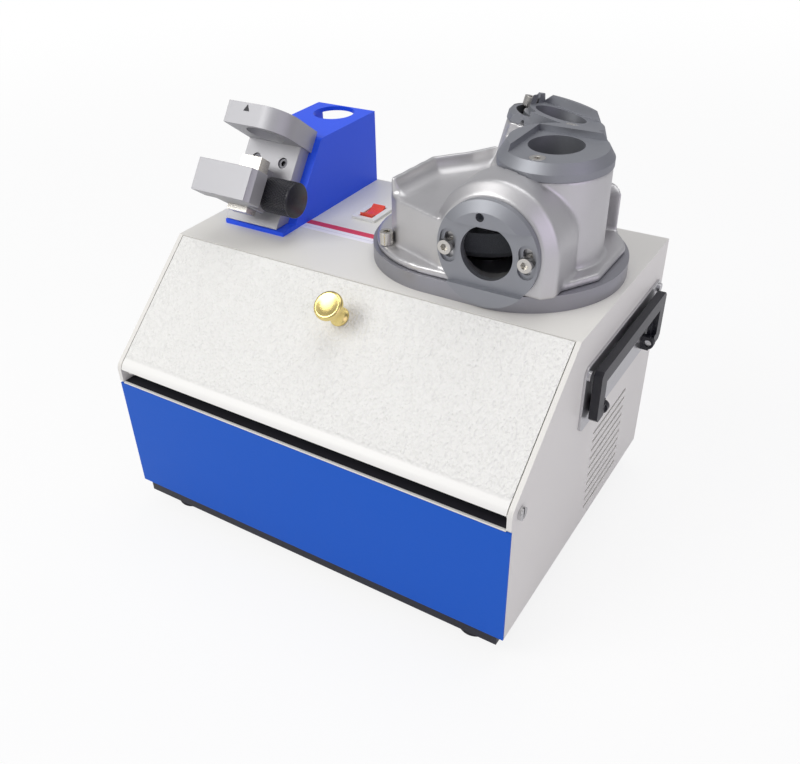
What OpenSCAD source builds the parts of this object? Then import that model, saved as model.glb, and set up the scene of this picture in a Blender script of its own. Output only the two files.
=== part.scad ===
// End mill sharpener: a bench grinder in a sheet steel housing. The grinding head with its three
// ports stands on the top, a setting gauge stands beside it on a bent bracket, and a sloping
// cover over the collet tray swings forward on two pins.
// +Z is up, the operator's side is -Y, and the origin is on the bench under the middle.

/* [Housing] */
// Width of the housing
body_w = 290; // [270:1:340]
// Depth of the housing
body_d = 224; // [215:1:270]
// Height of the housing above the base pan
body_h = 163; // [150:1:190]
// Thickness of the hemmed side walls and the top
wall_t = 3; // [2.4:0.1:4]
// Thickness of the lighter sheet: front panel, rails, rear panel
sheet_t = 1.2; // [1:0.1:2]
// Slope of the front cover above the horizontal
slope_a = 40; // [36:1:44]
// Distance of the top edge of the cover behind the front
slope_run = 76.5; // [72:0.5:84]
// Radius of the rolled nose of the cover
nose_r = 8; // [7:0.5:9]
// Depth of the base pan
base_h = 9; // [8:0.5:14]
// Height of the rubber feet under the base pan
foot_h = 12; // [10:0.5:20]
// Diameter of a rubber foot
foot_d = 25; // [20:0.5:30]

/* [Cover] */
// Thickness of the cover sheet
cover_t = 2; // [1.5:0.1:2.5]
// Gap between the cover and the walls beside it
cover_gap = 0.6; // [0.4:0.1:1]
// Depth of the folded edges of the cover
cover_fold = 12; // [11:0.5:16]
// Diameter of the hinge pins
pin_d = 6; // [5:0.5:7]
// Diameter of the face of the brass knob
knob_d = 19; // [16:0.5:24]
// Height of the brass knob above the cover
knob_h = 19; // [15:0.5:24]

/* [Handles] */
// Length of a folding handle
bail_l = 114; // [100:1:130]
// Height of a folding handle
bail_h = 35; // [30:0.5:42]
// Thickness of a folding handle
bail_t = 5.4; // [4.5:0.1:7]
// Width of the legs of a folding handle
bail_leg = 13; // [11:0.5:16]
// Height of the grip bar of a folding handle
bail_bar = 10; // [8:0.5:12]

/* [Grinding head] */
// Inside diameter of the port bores
port_d = 32; // [26:0.5:34]
// Outside diameter of the port rings
ring_d = 64; // [61:0.5:66]
// Thickness of the upper port rings below their floors
ring_t = 9.6; // [8:0.2:11]
// Height of the raised rims on the port rings
rim_h = 3.6; // [2.6:0.2:4.4]
// Diameter of the grinding wheel
wheel_d = 78; // [60:1:80]
// Height of the top port above the housing
head_h = 77.6; // [74:0.2:90]
// Height of the wheel housing above the housing
lobe_h = 45.5; // [44:0.5:52]
// Thickness of the head's base plate
plate_t = 10.5; // [9:0.5:14]

/* [Spindle] */
// Diameter of the spindle shaft
shaft_d = 12; // [10:0.5:14]
// Diameter of the motor case without its fins
motor_d = 80; // [72:1:86]
// Length of the motor case
motor_l = 72; // [60:1:90]

/* [Setting gauge] */
// Width of the gauge bracket
stand_w = 50; // [46:0.5:60]
// Height of the gauge bracket
stand_h = 51.5; // [50:0.5:60]
// Slope of the gauge bracket's front
stand_a = 53.3; // [50:0.5:58]
// Thickness of the bracket's sheet
stand_t = 3; // [2:0.5:4]
// Width of the gauge frame and its slider
gauge_w = 46; // [40:0.5:50]
// Diameter of the gauge bore
gauge_bore = 26; // [20:0.5:28]
// Travel of the slider along its rail
slider_travel = 9; // [4:0.5:10]

/* [Clearances] */
// Running clearance of a pin in its hole, on the radius
run_c = 0.06; // [0.03:0.01:0.1]
// Clearance between parts that move past each other
move_c = 0.4; // [0.3:0.05:0.6]
// Gap at a seam between fixed sheets
seam_c = 0.3; // [0.1:0.05:0.5]

/* [Hidden] */
$fn = 64;
e = 0.01;

cream = "#e6e6dc";
steel = "#b8bcc0";
aluminium = "#a9adb0";
blue = "#2c5fc3";
black = "#1c1c1e";
brass = "#d9b24a";

// heights of the housing, from the bench up
z_pan = foot_h;
z_body = z_pan + base_h;
z_top = z_body + body_h;
y_front = -body_d / 2;
y_rear = body_d / 2;
x_side = body_w / 2;
x_in = x_side - wall_t;

// the cover's slope meets the top here, and its nose is rolled about the hinge pins
y_seam = y_front + slope_run;
z_corner = z_top - slope_run * tan(slope_a);
nose_y = y_front + nose_r;
nose_z = z_corner + nose_r * tan(slope_a) - nose_r / cos(slope_a);
cover_x = x_in - cover_gap;
panel_h = nose_z - z_body - nose_r - move_c;
shelf_z = z_body + panel_h;
cover_low = nose_z + 1.3;
pin_y = nose_y + 2.3;
pin_z = nose_z - 2.2;
pin_head_d = 8;
pin_head_h = 2.2;
pin_reach = 3;
ear_t = 2;
ear_r = 5.5;

// the brass knob stands on the slope
knob_run = 24.4;

// feet and their screws
foot_x = x_side - 27;
foot_y = y_rear - 20;
pan_inset = 5;
pan_t = 2.5;
screw_d = 4;
flat_head = 7;
bolt_head = 8;
small_d = 3;
small_head = 5.5;
small_cap = 1.8;

// louvres in the side walls, and the rear panel between the rear edges of the shell
louvre_n = 10;
louvre_pitch = 6.9;
louvre_l = 58;
louvre_h = 2.2;
y_back = y_rear - 2;
rear_screw_x = x_in - 7;

// mains inlet in the rear panel
inlet_x = -95;
inlet_z = 38;
inlet_w = 28;
inlet_h = 20;

// switch on the top
switch_x = -46;
switch_y = y_front + 167;
switch_w = 13;
switch_l = 20;
rocker_w = 10;
rocker_l = 17;
rocker_r = 14;
rocker_pin = 2;
rocker_drop = 5;

// collet tray, and the magnets that hold the cover
tray_y = y_seam + 14;
tray_z = z_body + panel_h - 22;
collet_d = 20;
collet_n = 8;
collet_pitch = 32;
magnet_d = 8;

// the head stands on the right of the top
wheel_x = 58;
wheel_y = 26;
plate_x = [42, 79];
plate_y = 34;
plate_r = 62;
tier_r = 59.5;
tier_h = 4.5;
tier_edge = [[-30, -40], [101, -40], [134, 15], [134, 130], [-30, 130]];
z_plate = z_top + plate_t;
z_tier = z_plate + tier_h;
z_lobe = z_top + lobe_h;
fin_h = 9.5;
drum_x = 94;
drum_y = 32.5;
z_port = z_top + head_h;
top_ring_r = ring_d / 2 + 1;
side_ring_r = ring_d / 2 - 1;
rear_rim_h = rim_h + 1.9;
drum_r = top_ring_r - 0.5;
port_r = port_d / 2;
hollow_r = port_r + 3;
chamber_r = wheel_d / 2 + 3;
chamber_top = z_lobe - 4;
front_x = 82;
front_z = z_top + 33;
front_y = -30;
front_t = 7.5;
boss_y = front_y + front_t;
boss_r = side_ring_r + 7.5;
boss_c = 6.5;
rear_x = 76;
rear_y = 81;
rear_z = z_port + 0.9;
rear_lean = 15.8;
rear_turn = 45;
rear_slot_a = 200;
rear_slot_swing = 35;
rear_recess = 3.4;
ring_screw_d = 5;
ring_screw_head = 9.4;
seam_y = drum_y + 25.3;
buttress_x = 100;
buttress_y = 75;
buttress_h = 31.5;
spigot_h = 3;
slot_r = 24.5;
slot_swing = 12;
cap_d = 8.5;
cap_h = 5;
cap_shank = 5;
recess_w = 10;
wall_left = -19;
wall_back = 19;

// the screws of the flange, in plan: three stand on it and two come up from inside
head_screws_xy = [[5.5, -8], [-4, 55], [26, 84]];
under_screws_xy = [[122, 10], [110, 72]];
under_screw_l = wall_t + 7;
rear_screw_xy = [15, -17, 0];

// corners of the wheel housing seen from above, from its front left corner clockwise
lobe_left = [[5.7, -2.6], [9.6, 40.5], [15.9, 48], [26.2, 59.6], [36, 76]];
lobe_front = [[13, -8], [48.3, -21.5]];

// wheel and spindle heights
z_wheel = z_plate + 10;
wheel_t = 16;
hub_d = 30;
motor_top = z_top - wall_t;
cap_t = 12;
motor_low = motor_top - cap_t - motor_l;
bearing_d = 28;
bearing_t = 8;
fin_count = 24;
shaft_low = motor_low - cap_t - 17;
z_nut = z_wheel + 7.1;

// the bracket stands on the left of the top
stand_x = -x_side + 41.5;
stand_front = y_front + 118;
stand_back = y_rear - 1;
bracket_hole = 30;

// the gauge sits on the bracket's slope: s runs up it and n stands off it
gauge_x = stand_x - 2.5;
frame_n = 10.6;
flange_s = 53.3;
flange_t = 14.7;
flange_n = 40.6;
rail_w = 16.5;
rail_n = 20.6;
rail_t = 10;
slider_s = 21.5;
slider_s0 = 3.8;
slider_n = 37.6;
slider_t = 15;
lug_w = 26;
lug_n = 18.6;
rail_s1 = slider_s0 + slider_s + slider_travel + 3;
clamp_s = slider_s0 + 12;
clamp_n = rail_n + rail_t / 2 - 0.4;
clamp_d = 23;
clamp_l = 23;
clamp_x = gauge_x + 18.5;
clamp_thread = 6;

// handles: the bail folds flat and its pins are in the lower ends of its legs
bail_y = (y_rear - 15) - bail_l / 2;
bail_z = z_body + 102.5;
bail_off = 3;
bail_end = 3;
bail_c = 2.5;
bail_step = 3.5;
bail_knuckle = 4.5;
plate_w = 129;
plate_h = 44.5;
handle_t = 1.5;
hinge_d = 5;

// ---- shapes used again and again ----

// a flat outline in the Y-Z plane, drawn between two places along X
module across(x0, x1) {
    translate([x0, 0, 0]) rotate([90, 0, 90]) linear_extrude(x1 - x0) children();
}

// the housing's outline from the side, drawn in by a distance
module side_outline(inset = 0) {
    r = nose_r - inset;
    polygon([
        [y_front + inset, z_body], [y_rear, z_body], [y_rear, z_top - inset],
        [y_seam + inset * tan(slope_a / 2), z_top - inset],
        [nose_y - r * sin(slope_a), nose_z + r * cos(slope_a)],
        [nose_y - r, nose_z]]);
    translate([nose_y, nose_z]) circle(r);
}

// places children on the cover: x across, y up the slope, z out of it, from the top edge
module on_slope(run) {
    translate([0, y_seam, z_top]) rotate([slope_a, 0, 0]) translate([0, -run, 0]) children();
}

// a socket cap screw with its head's underside at z = 0
module cap_screw(d, l, head_d, head_h) {
    difference() {
        union() {
            cylinder(d = head_d, h = head_h);
            translate([0, 0, -l]) cylinder(d = d, h = l + e);
        }
        translate([0, 0, head_h - head_d * 0.3]) cylinder(d = head_d * 0.54, h = head_h, $fn = 6);
    }
}

// a countersunk screw, flush at z = 0
module flat_screw(d, l, head_d) {
    difference() {
        union() {
            translate([0, 0, -(head_d - d) / 2]) cylinder(d1 = d, d2 = head_d, h = (head_d - d) / 2);
            translate([0, 0, -l]) cylinder(d = d, h = l - (head_d - d) / 2 + e);
        }
        translate([0, 0, -head_d * 0.2]) cylinder(d = head_d * 0.4, h = head_d, $fn = 6);
    }
}

// the hole that such a screw sits in, with its clearance
module flat_hole(d, l, head_d) {
    c = 2 * run_c;
    translate([0, 0, -l]) cylinder(d = d + c, h = l);
    translate([0, 0, -(head_d - d) / 2]) cylinder(d1 = d + c, d2 = head_d + c, h = (head_d - d) / 2);
    translate([0, 0, -e]) cylinder(d = head_d + c, h = 2);
}

// a plain hole round a pin or a screw, with its clearance
module clear_hole(d, h) {
    cylinder(d = d + 2 * run_c, h = h);
}

// ---- base ----

module foot_places() {
    for (x = [-foot_x, foot_x], y = [-foot_y, foot_y]) translate([x, y, 0]) children();
}

// a shallow pan, open underneath, with air slots under the motor
module base_pan() {
    color(black) difference() {
        translate([-x_side + pan_inset, y_front + 2, z_pan])
            cube([body_w - 2 * pan_inset, body_d - 4, base_h]);
        translate([-x_side + pan_inset + pan_t, y_front + 2 + pan_t, z_pan - e])
            cube([body_w - 2 * pan_inset - 2 * pan_t, body_d - 4 - 2 * pan_t, base_h - pan_t + e]);
        foot_places() clear_hole(screw_d, z_body + 1);
        tray_screw_places() translate([0, 0, -9]) clear_hole(small_d, 10);
        for (i = [-5:5]) translate([wheel_x + i * 8 - 2, wheel_y - 25, 0]) cube([4, 50, z_body + 1]);
    }
}

// each foot is a tapered rubber buffer with a well for its screw
module rubber_feet() {
    color(black) foot_places() difference() {
        cylinder(d1 = foot_d - 3, d2 = foot_d, h = z_body - pan_t);
        translate([0, 0, -1]) cylinder(d = 11, h = foot_h - 3);
        clear_hole(screw_d, z_body);
    }
}

module foot_screws() {
    color(steel) foot_places() translate([0, 0, foot_h - 4]) mirror([0, 0, 1])
        cap_screw(screw_d, z_body - foot_h + 8, 8, 3);
}

// ---- sheet metal housing ----

// the two side walls and the top as one bent sheet, with folds along its open edges
module housing_shell() {
    color(cream) difference() {
        union() {
            for (s = [-1, 1]) across(s * (x_side - wall_t / 2) - wall_t / 2,
                s * (x_side - wall_t / 2) + wall_t / 2) side_outline();
            translate([-x_side, y_seam, z_top - wall_t]) cube([body_w, y_rear - y_seam, wall_t]);
            for (s = [0, 1]) mirror([s, 0, 0]) shell_folds();
        }
        // the front panel covers the walls' front edges
        translate([-x_side - 1, y_front - 1, z_body - 1])
            cube([body_w + 2, sheet_t + 1, panel_h + 1 + seam_c]);
        for (s = [0, 1]) mirror([s, 0, 0]) {
            shell_side_holes();
            side_louvres();
        }
        // openings in the top for the spindle, the switch and the screws
        translate([wheel_x, wheel_y, z_top - wall_t - 1]) cylinder(d = hub_d + 8, h = wall_t + 2);
        translate([switch_x - switch_w / 2, switch_y - switch_l / 2, z_top - wall_t - 1])
            cube([switch_w, switch_l, wall_t + 2]);
        motor_bolt_places() translate([0, 0, z_top]) flat_hole(screw_d, 6, bolt_head);
        plate_screw_places() translate([0, 0, z_top - wall_t - 1])
            clear_hole(cap_shank, wall_t + 2);
        under_screw_places() translate([0, 0, -1]) clear_hole(cap_shank, wall_t + 2);
        bracket_screw_places() translate([0, 0, -wall_t - 1])
            clear_hole(screw_d, wall_t + 2);
    }
}

// folds along the bottom and the rear edge of the right wall
module shell_folds() {
    fold = 14;
    translate([x_in - fold, y_front + 13, z_body]) cube([fold + e, y_back - y_front - 16, 2]);
    translate([x_in - fold, y_back - sheet_t - 2, z_body]) cube([fold + e, 2, body_h - wall_t + e]);
}

// holes in the right wall for the hinge pin and the handle
module shell_side_holes() {
    translate([x_in - 1, pin_y, pin_z]) rotate([0, 90, 0])
        clear_hole(pin_d, wall_t + 2);
    handle_screw_places() translate([-wall_t - 1, 0, 0]) rotate([0, 90, 0])
        clear_hole(screw_d, wall_t + 2);
    for (x = [x_in - 7], y = [-foot_y, foot_y])
        translate([x, y, z_body - 1]) clear_hole(small_d, 4);
    for (z = [z_body + 14, z_top - 20]) translate([rear_screw_x, y_rear, z]) rotate([90, 0, 0])
        clear_hole(small_d, 12);
}

// a block of ten air slots low on the right wall
module side_louvres() {
    for (i = [0 : louvre_n - 1])
        translate([x_in - 1, y_front + 120, z_body + 10 + i * louvre_pitch])
            cube([wall_t + 2, louvre_l, louvre_h]);
}

// the rear panel sits inside the rear edges of the shell

module rear_screw_places() {
    for (x = [-rear_screw_x, rear_screw_x], z = [z_body + 14, z_top - 20])
        translate([x, y_back, z]) rotate([-90, 0, 0]) children();
}

// the rear sheet, with the opening for the inlet and a field of air slots
module rear_panel() {
    w = x_in - seam_c;
    color(cream) difference() {
        translate([-w, y_back - sheet_t, z_body + 2 + seam_c])
            cube([2 * w, sheet_t, body_h - wall_t - 2 - 2 * seam_c]);
        translate([inlet_x - inlet_w / 2, y_back - sheet_t - 1, z_body + inlet_z - inlet_h / 2])
            cube([inlet_w, sheet_t + 2, inlet_h]);
        for (i = [0:8]) translate([wheel_x - 30, y_back - sheet_t - 1, z_body + 40 + i * 9])
            cube([60, sheet_t + 2, 3.5]);
        rear_screw_places() translate([0, 0, -sheet_t - 1]) clear_hole(small_d, sheet_t + 2);
        inlet_screw_places() translate([0, 0, -sheet_t - 1]) clear_hole(small_d, sheet_t + 2);
    }
}

module inlet_screw_places() {
    for (s = [-20, 20]) translate([inlet_x + s, y_back, z_body + inlet_z]) rotate([-90, 0, 0]) children();
}

// the coloured panel below the cover, folded back along its top and bottom
module front_panel() {
    fold = 12;
    w = x_in - seam_c;
    color(blue) {
        translate([-x_side, y_front, z_body]) cube([body_w, sheet_t, panel_h - sheet_t - 0.1]);
        translate([-w, y_front, z_body]) cube([2 * w, fold, sheet_t]);
        translate([-w, y_front, shelf_z - 2 * sheet_t - 0.1]) cube([2 * w, fold - 3, sheet_t]);
    }
}

// the pale shelf on top of the panel, where the cover's lower edge stops when it is open,
// with an upstand behind the hinge line
module front_rail() {
    back = y_front + 16;
    rise = 10;
    color(cream) {
        across(-x_in, x_in) polygon([
            [y_front, shelf_z], [back, shelf_z], [back, shelf_z - sheet_t],
            [y_front, shelf_z - sheet_t]]);
        across(-cover_x + 4, cover_x - 4) polygon([
            [back - sheet_t, shelf_z - e], [back, shelf_z - e], [back, shelf_z + rise],
            [back - sheet_t, shelf_z + rise]]);
    }
}

// a folded rail under the front edge of the top, which the cover closes on
module top_rail() {
    rest = cover_t + move_c;
    z1 = z_top - wall_t;
    half = cover_x - ear_t - 1.5;
    color(cream) difference() {
        across(-half, half) polygon([
            [y_seam + 1, z1], [y_seam + 18, z1], [y_seam + 18, z1 - 2], [y_seam + 4, z1 - 2],
            for (p = [[-3, 2], [-14, 2], [-14, 0], [-3, 0]])
                [y_seam + (rest + p[1]) * sin(slope_a) + p[0] * cos(slope_a),
                 z_top - (rest + p[1]) * cos(slope_a) + p[0] * sin(slope_a)]]);
        magnet_places() translate([0, 0, -rest - 3]) clear_hole(magnet_d, 4);
    }
}

module magnet_places() {
    for (x = [-90, 90]) on_slope(8.5) translate([x, 0, 0]) children();
}

// two round magnets in the top rail hold the cover shut
module catch_magnets() {
    color(steel) magnet_places() translate([0, 0, -cover_t - seam_c - 4]) cylinder(d = magnet_d, h = 4);
}

module tray_screw_places() {
    for (x = [-90, 0, 90]) translate([x, tray_y + 8, z_body]) children();
}

// the wall behind the collet tray keeps grit away from the motor
module tray_wall() {
    color(steel) difference() {
        union() {
            translate([-x_in + 4, tray_y, z_body + 2])
                cube([2 * (x_in - 4), sheet_t, body_h - wall_t - 4 - seam_c]);
            translate([-x_in + 20, tray_y, z_body]) cube([2 * x_in - 40, 14, 2 + e]);
        }
        tray_screw_places() translate([0, 0, -1]) clear_hole(small_d, 4);
    }
}

// the collet tray: a sheet shelf with a row of holes and folded edges
module collet_tray() {
    y0 = y_front + 22;
    depth = tray_y - seam_c - y0;
    w = x_in - seam_c;
    color(steel) difference() {
        union() {
            translate([-w, y0, tray_z]) cube([2 * w, depth, 1.5]);
            for (y = [y0, y0 + depth - 1.5]) translate([-w, y, tray_z]) cube([2 * w, 1.5, 12]);
            for (x = [-w, w - 1.5]) translate([x, y0, tray_z]) cube([1.5, depth, 12]);
        }
        for (i = [0 : collet_n - 1])
            translate([(i - (collet_n - 1) / 2) * collet_pitch, y0 + depth * 0.66, tray_z - 1])
                cylinder(d = collet_d, h = 4);
    }
}

// screws of the rear panel, the inlet and the folded edges
module panel_screws() {
    color(steel) {
        rear_screw_places() cap_screw(small_d, 6, small_head, small_cap);
        inlet_screw_places() cap_screw(small_d, 6, small_head, small_cap);
        tray_screw_places() translate([0, 0, 2 + e]) cap_screw(small_d, 5, small_head, small_cap);
    }
}

// ---- front cover ----

// the cover: a sloping sheet rolled round the nose, with folded ends that carry the pins
module front_cover() {
    color(cream) difference() {
        union() {
            intersection() {
                across(-cover_x, cover_x) difference() {
                    side_outline();
                    side_outline(cover_t);
                }
                cover_room(-cover_x, cover_x);
            }
            for (s = [0, 1]) mirror([s, 0, 0]) cover_end();
        }
        for (s = [-1, 1]) translate([s * cover_x, pin_y, pin_z]) rotate([0, 90, 0])
            cylinder(d = pin_d + 2 * run_c, h = 4 * ear_t, center = true);
        on_slope(knob_run) translate([0, 0, -5]) clear_hole(screw_d, 10);
    }
}

// the space that the cover's sheet fills: above its lower edge and in front of the seam
module cover_room(x0, x1) {
    translate([x0, y_front - 1, cover_low]) cube([x1 - x0, slope_run + 1 - cover_gap, body_h]);
}

// the folded end of the cover on the right, with its ear round the pin
module cover_end() {
    across(cover_x - ear_t, cover_x) difference() {
        union() {
            translate([pin_y, pin_z]) circle(ear_r);
            translate([pin_y - ear_r, pin_z]) square([ear_r + 9, 8]);
        }
        translate([nose_y, nose_z]) rotate(slope_a) translate([-60, nose_r - e]) square([400, 99]);
    }
    intersection() {
        across(cover_x - ear_t, cover_x) difference() {
            side_outline();
            translate([nose_y, nose_z]) rotate(slope_a)
                translate([-60, -body_h + nose_r - cover_fold]) square([400, body_h]);
        }
        cover_room(cover_x - ear_t, cover_x);
        translate([0, nose_y - nose_r * sin(slope_a), z_body]) cube([x_side, body_d, body_h - 4]);
    }
}

// the brass knob: a dished disc on a waisted stem
module cover_knob() {
    r = knob_d / 2;
    color(brass) on_slope(knob_run) difference() {
        rotate_extrude() polygon([
            [0, 0], [r * 0.66, 0], [r * 0.66, knob_h * 0.08], [r * 0.5, knob_h * 0.16],
            [r * 0.36, knob_h * 0.34], [r * 0.36, knob_h * 0.5], [r * 0.52, knob_h * 0.64],
            [r * 0.86, knob_h * 0.74], [r, knob_h * 0.84], [r * 0.96, knob_h * 0.95],
            [r * 0.8, knob_h], [r * 0.6, knob_h * 0.985], [0, knob_h * 0.93]]);
        translate([0, 0, -e]) clear_hole(screw_d, knob_h * 0.5);
    }
}

module knob_screw() {
    color(steel) on_slope(knob_run) translate([0, 0, -cover_t]) mirror([0, 0, 1])
        cap_screw(screw_d, cover_t + knob_h * 0.45, 7, 2.5);
}

// pins through the side walls into the folded ends
module hinge_pins() {
    color(steel) for (s = [0, 1]) mirror([s, 0, 0])
        translate([x_side, pin_y, pin_z]) rotate([0, 90, 0]) difference() {
            union() {
                cylinder(d = pin_head_d, h = pin_head_h);
                translate([0, 0, -wall_t - cover_gap - ear_t - pin_reach])
                    cylinder(d = pin_d, h = wall_t + cover_gap + ear_t + pin_reach + e);
            }
            translate([-pin_head_d, -0.6, pin_head_h - 1]) cube([2 * pin_head_d, 1.2, 2]);
        }
}

// ---- switch and inlet ----

// the switch's bezel and body, open in the middle for the rocker
module switch_body() {
    rim = 3;
    color("#ecebe4") difference() {
        union() {
            translate([switch_x - switch_w / 2 - rim, switch_y - switch_l / 2 - rim, z_top])
                cube([switch_w + 2 * rim, switch_l + 2 * rim, 1.8]);
            translate([switch_x - switch_w / 2 + 0.2, switch_y - switch_l / 2 + 0.2, z_top - 20])
                cube([switch_w - 0.4, switch_l - 0.4, 20 + e]);
        }
        translate([switch_x - rocker_w / 2 - 0.4, switch_y - rocker_l / 2 - 1.2, z_top - 12])
            cube([rocker_w + 0.8, rocker_l + 2.4, 20]);
        translate([switch_x - rocker_w, switch_y, z_top - rocker_drop]) rotate([0, 90, 0])
            clear_hole(rocker_pin, 2 * rocker_w);
    }
}

// the rocker, dished between its two raised ends, with pivots at its sides
module rocker() {
    color("#d8382a") {
        difference() {
            translate([switch_x - rocker_w / 2, switch_y - rocker_l / 2, z_top - 7])
                cube([rocker_w, rocker_l, 12]);
            translate([switch_x - rocker_w, switch_y, z_top + rocker_r + 0.9]) rotate([0, 90, 0])
                cylinder(r = rocker_r, h = 2 * rocker_w);
        }
        translate([switch_x - rocker_w / 2 - 1.2, switch_y, z_top - rocker_drop]) rotate([0, 90, 0])
            cylinder(d = rocker_pin, h = rocker_w + 2.4);
    }
}

// the mains inlet: a socket with a rounded pocket, screwed to the rear panel
module inlet_socket() {
    color(black) translate([inlet_x, y_back - sheet_t, z_body + inlet_z]) difference() {
        union() {
            translate([-25, -3, -12]) cube([50, 3, 24]);
            translate([-inlet_w / 2 + 0.2, -24, -inlet_h / 2 + 0.2])
                cube([inlet_w - 0.4, 24 + sheet_t, inlet_h - 0.4]);
        }
        translate([-12, -18, -7.5]) cube([24, 30, 15]);
        for (s = [-20, 20]) translate([s, -5, 0]) rotate([-90, 0, 0]) clear_hole(small_d, 8);
        for (x = [-7, 0, 7]) translate([x - 1, -26, x == 0 ? 0 : -4]) cube([2, 12, 4]);
    }
}

module inlet_pins() {
    color(steel) for (x = [-7, 0, 7])
        translate([inlet_x + x - 1, y_back - sheet_t - 23, z_body + inlet_z + (x == 0 ? 0 : -4)])
            cube([2, 19, 4]);
}

// ---- folding handles ----

module handle_screw_places() {
    for (m = [-1, 1]) translate([x_side, bail_y + m * (plate_w / 2 - 4), bail_z + plate_h - 13.5])
        children();
}

// the bright plate under each handle, with its two screws
module handle_plates() {
    color(steel) for (s = [0, 1]) mirror([s, 0, 0]) {
        translate([x_side, 0, 0]) rotate([90, 0, 90]) linear_extrude(handle_t)
            round_rect(bail_y - plate_w / 2, bail_z - 8, plate_w, plate_h, 5);
        handle_screw_places() translate([handle_t, 0, 0]) rotate([0, 90, 0]) {
            cylinder(d = 6, h = 1.6);
            translate([0, 0, -wall_t - handle_t - 2])
                cylinder(d = screw_d, h = wall_t + handle_t + 2 + e);
        }
    }
}

// a rectangle with round corners, made of plain shapes
module round_rect(x, y, w, h, r) {
    translate([x + r, y]) square([w - 2 * r, h]);
    translate([x, y + r]) square([w, h - 2 * r]);
    for (i = [r, w - r], j = [r, h - r]) translate([x + i, y + j]) circle(r);
}

// the ears that hold a handle's pins, two to each plate
module handle_brackets() {
    color(steel) for (s = [0, 1]) mirror([s, 0, 0]) for (m = [-1, 1])
        translate([x_side + handle_t, bail_y + m * (bail_l / 2 - bail_leg - move_c - 2), bail_z])
            difference() {
                union() {
                    translate([0, -2, -5]) cube([bail_off + bail_t / 2 - handle_t + 1, 4, 10]);
                    translate([bail_off + bail_t / 2 - handle_t, 2, 0]) rotate([90, 0, 0])
                        cylinder(d = hinge_d + 3, h = 4);
                }
                translate([bail_off + bail_t / 2 - handle_t, 5, 0]) rotate([90, 0, 0])
                    cylinder(d = hinge_d, h = 10);
            }
}

module handle_pins() {
    color(steel) for (s = [0, 1]) mirror([s, 0, 0]) for (m = [-1, 1])
        translate([x_side + bail_off + bail_t / 2, bail_y, bail_z])
            translate([0, m * (bail_l / 2 - bail_leg / 2 - 2.75), 0]) rotate([90, 0, 0])
                cylinder(d = hinge_d, h = bail_leg + 0.5, center = true);
}

// the folding handle: a straight grip on two legs, with a step in its opening
module bail() {
    top = bail_h - bail_end;
    half = bail_l / 2;
    c = bail_c;
    translate([x_side + bail_off, bail_y, bail_z]) difference() {
        rotate([90, 0, 90]) linear_extrude(bail_t) difference() {
            translate([-half, -bail_end]) square([bail_l, bail_h]);
            translate([-half + bail_leg, -bail_end - 1])
                square([bail_l - 2 * bail_leg, bail_h + 1 - bail_bar - bail_step]);
            for (s = [-1, 1], p = [[half, top], [half, -bail_end], [half - bail_leg, -bail_end]])
                translate([s * p[0], p[1]]) rotate(45) square(c * sqrt(2), center = true);
        }
        translate([bail_t / 2, -half + bail_leg - bail_step, bail_knuckle])
            cube([bail_t, bail_l - 2 * bail_leg + 2 * bail_step, top - bail_bar - bail_knuckle]);
        translate([bail_t / 2, 0, 0]) rotate([90, 0, 0])
            cylinder(d = hinge_d + 2 * run_c, h = bail_l - 4, center = true);
    }
}

module handle_right() {
    color(black) bail();
}

module handle_left() {
    color(black) mirror([1, 0, 0]) bail();
}

// ---- motor and spindle, hung under the top ----

module on_spindle(z) {
    translate([wheel_x, wheel_y, z]) children();
}

module motor_bolt_places() {
    for (a = [45:90:315]) on_spindle(0) rotate(a) translate([motor_d / 2 - 5, 0, 0]) children();
}

// the finned tube between the two end caps
module motor_case() {
    fin_t = 1.6;
    color(aluminium) on_spindle(motor_low) difference() {
        union() {
            cylinder(d = motor_d, h = motor_l);
            for (i = [1:fin_count]) rotate(i * 360 / fin_count)
                translate([motor_d / 2 - 1, -fin_t / 2, 2]) cube([3, fin_t, motor_l - 4]);
        }
        translate([0, 0, -e]) cylinder(d = motor_d - 8, h = motor_l + 2 * e);
    }
}

// the upper end cap bolts to the housing and carries the upper bearing
module motor_top_cap() {
    color(aluminium) difference() {
        on_spindle(motor_top - cap_t) difference() {
            union() {
                cylinder(d = motor_d, h = cap_t);
                translate([0, 0, -3]) cylinder(d = motor_d - 8 - 2 * run_c, h = 3 + e);
            }
            translate([0, 0, -4]) cylinder(d = bearing_d, h = 4 + bearing_t);
            cylinder(d = shaft_d + 2, h = cap_t * 2);
        }
        motor_bolt_places() translate([0, 0, motor_top - 10]) clear_hole(screw_d, 12);
    }
}

module motor_bottom_cap() {
    color(aluminium) on_spindle(motor_low - cap_t) difference() {
        union() {
            cylinder(d = motor_d, h = cap_t);
            cylinder(d = motor_d - 8 - 2 * run_c, h = cap_t + 3);
        }
        translate([0, 0, cap_t + 3 - bearing_t]) cylinder(d = bearing_d, h = bearing_t + 1);
        translate([0, 0, -1]) cylinder(d = shaft_d + 2, h = cap_t + 2);
        // air holes
        for (a = [0:60:300]) rotate(a) translate([motor_d / 2 - 13, 0, -1])
            cylinder(d = 8, h = cap_t + 5);
    }
}

module motor_bolts() {
    color(steel) motor_bolt_places() translate([0, 0, z_top]) flat_screw(screw_d, 11, bolt_head);
}

module stator() {
    color("#8a5a3a") on_spindle(motor_low + 14) difference() {
        cylinder(d = motor_d - 8, h = motor_l - 28);
        translate([0, 0, -e]) cylinder(d = motor_d - 36, h = motor_l);
        for (a = [0:30:330]) rotate(a) translate([motor_d / 2 - 18.5, -1.5, -1]) cube([8, 3, motor_l]);
    }
}

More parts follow.
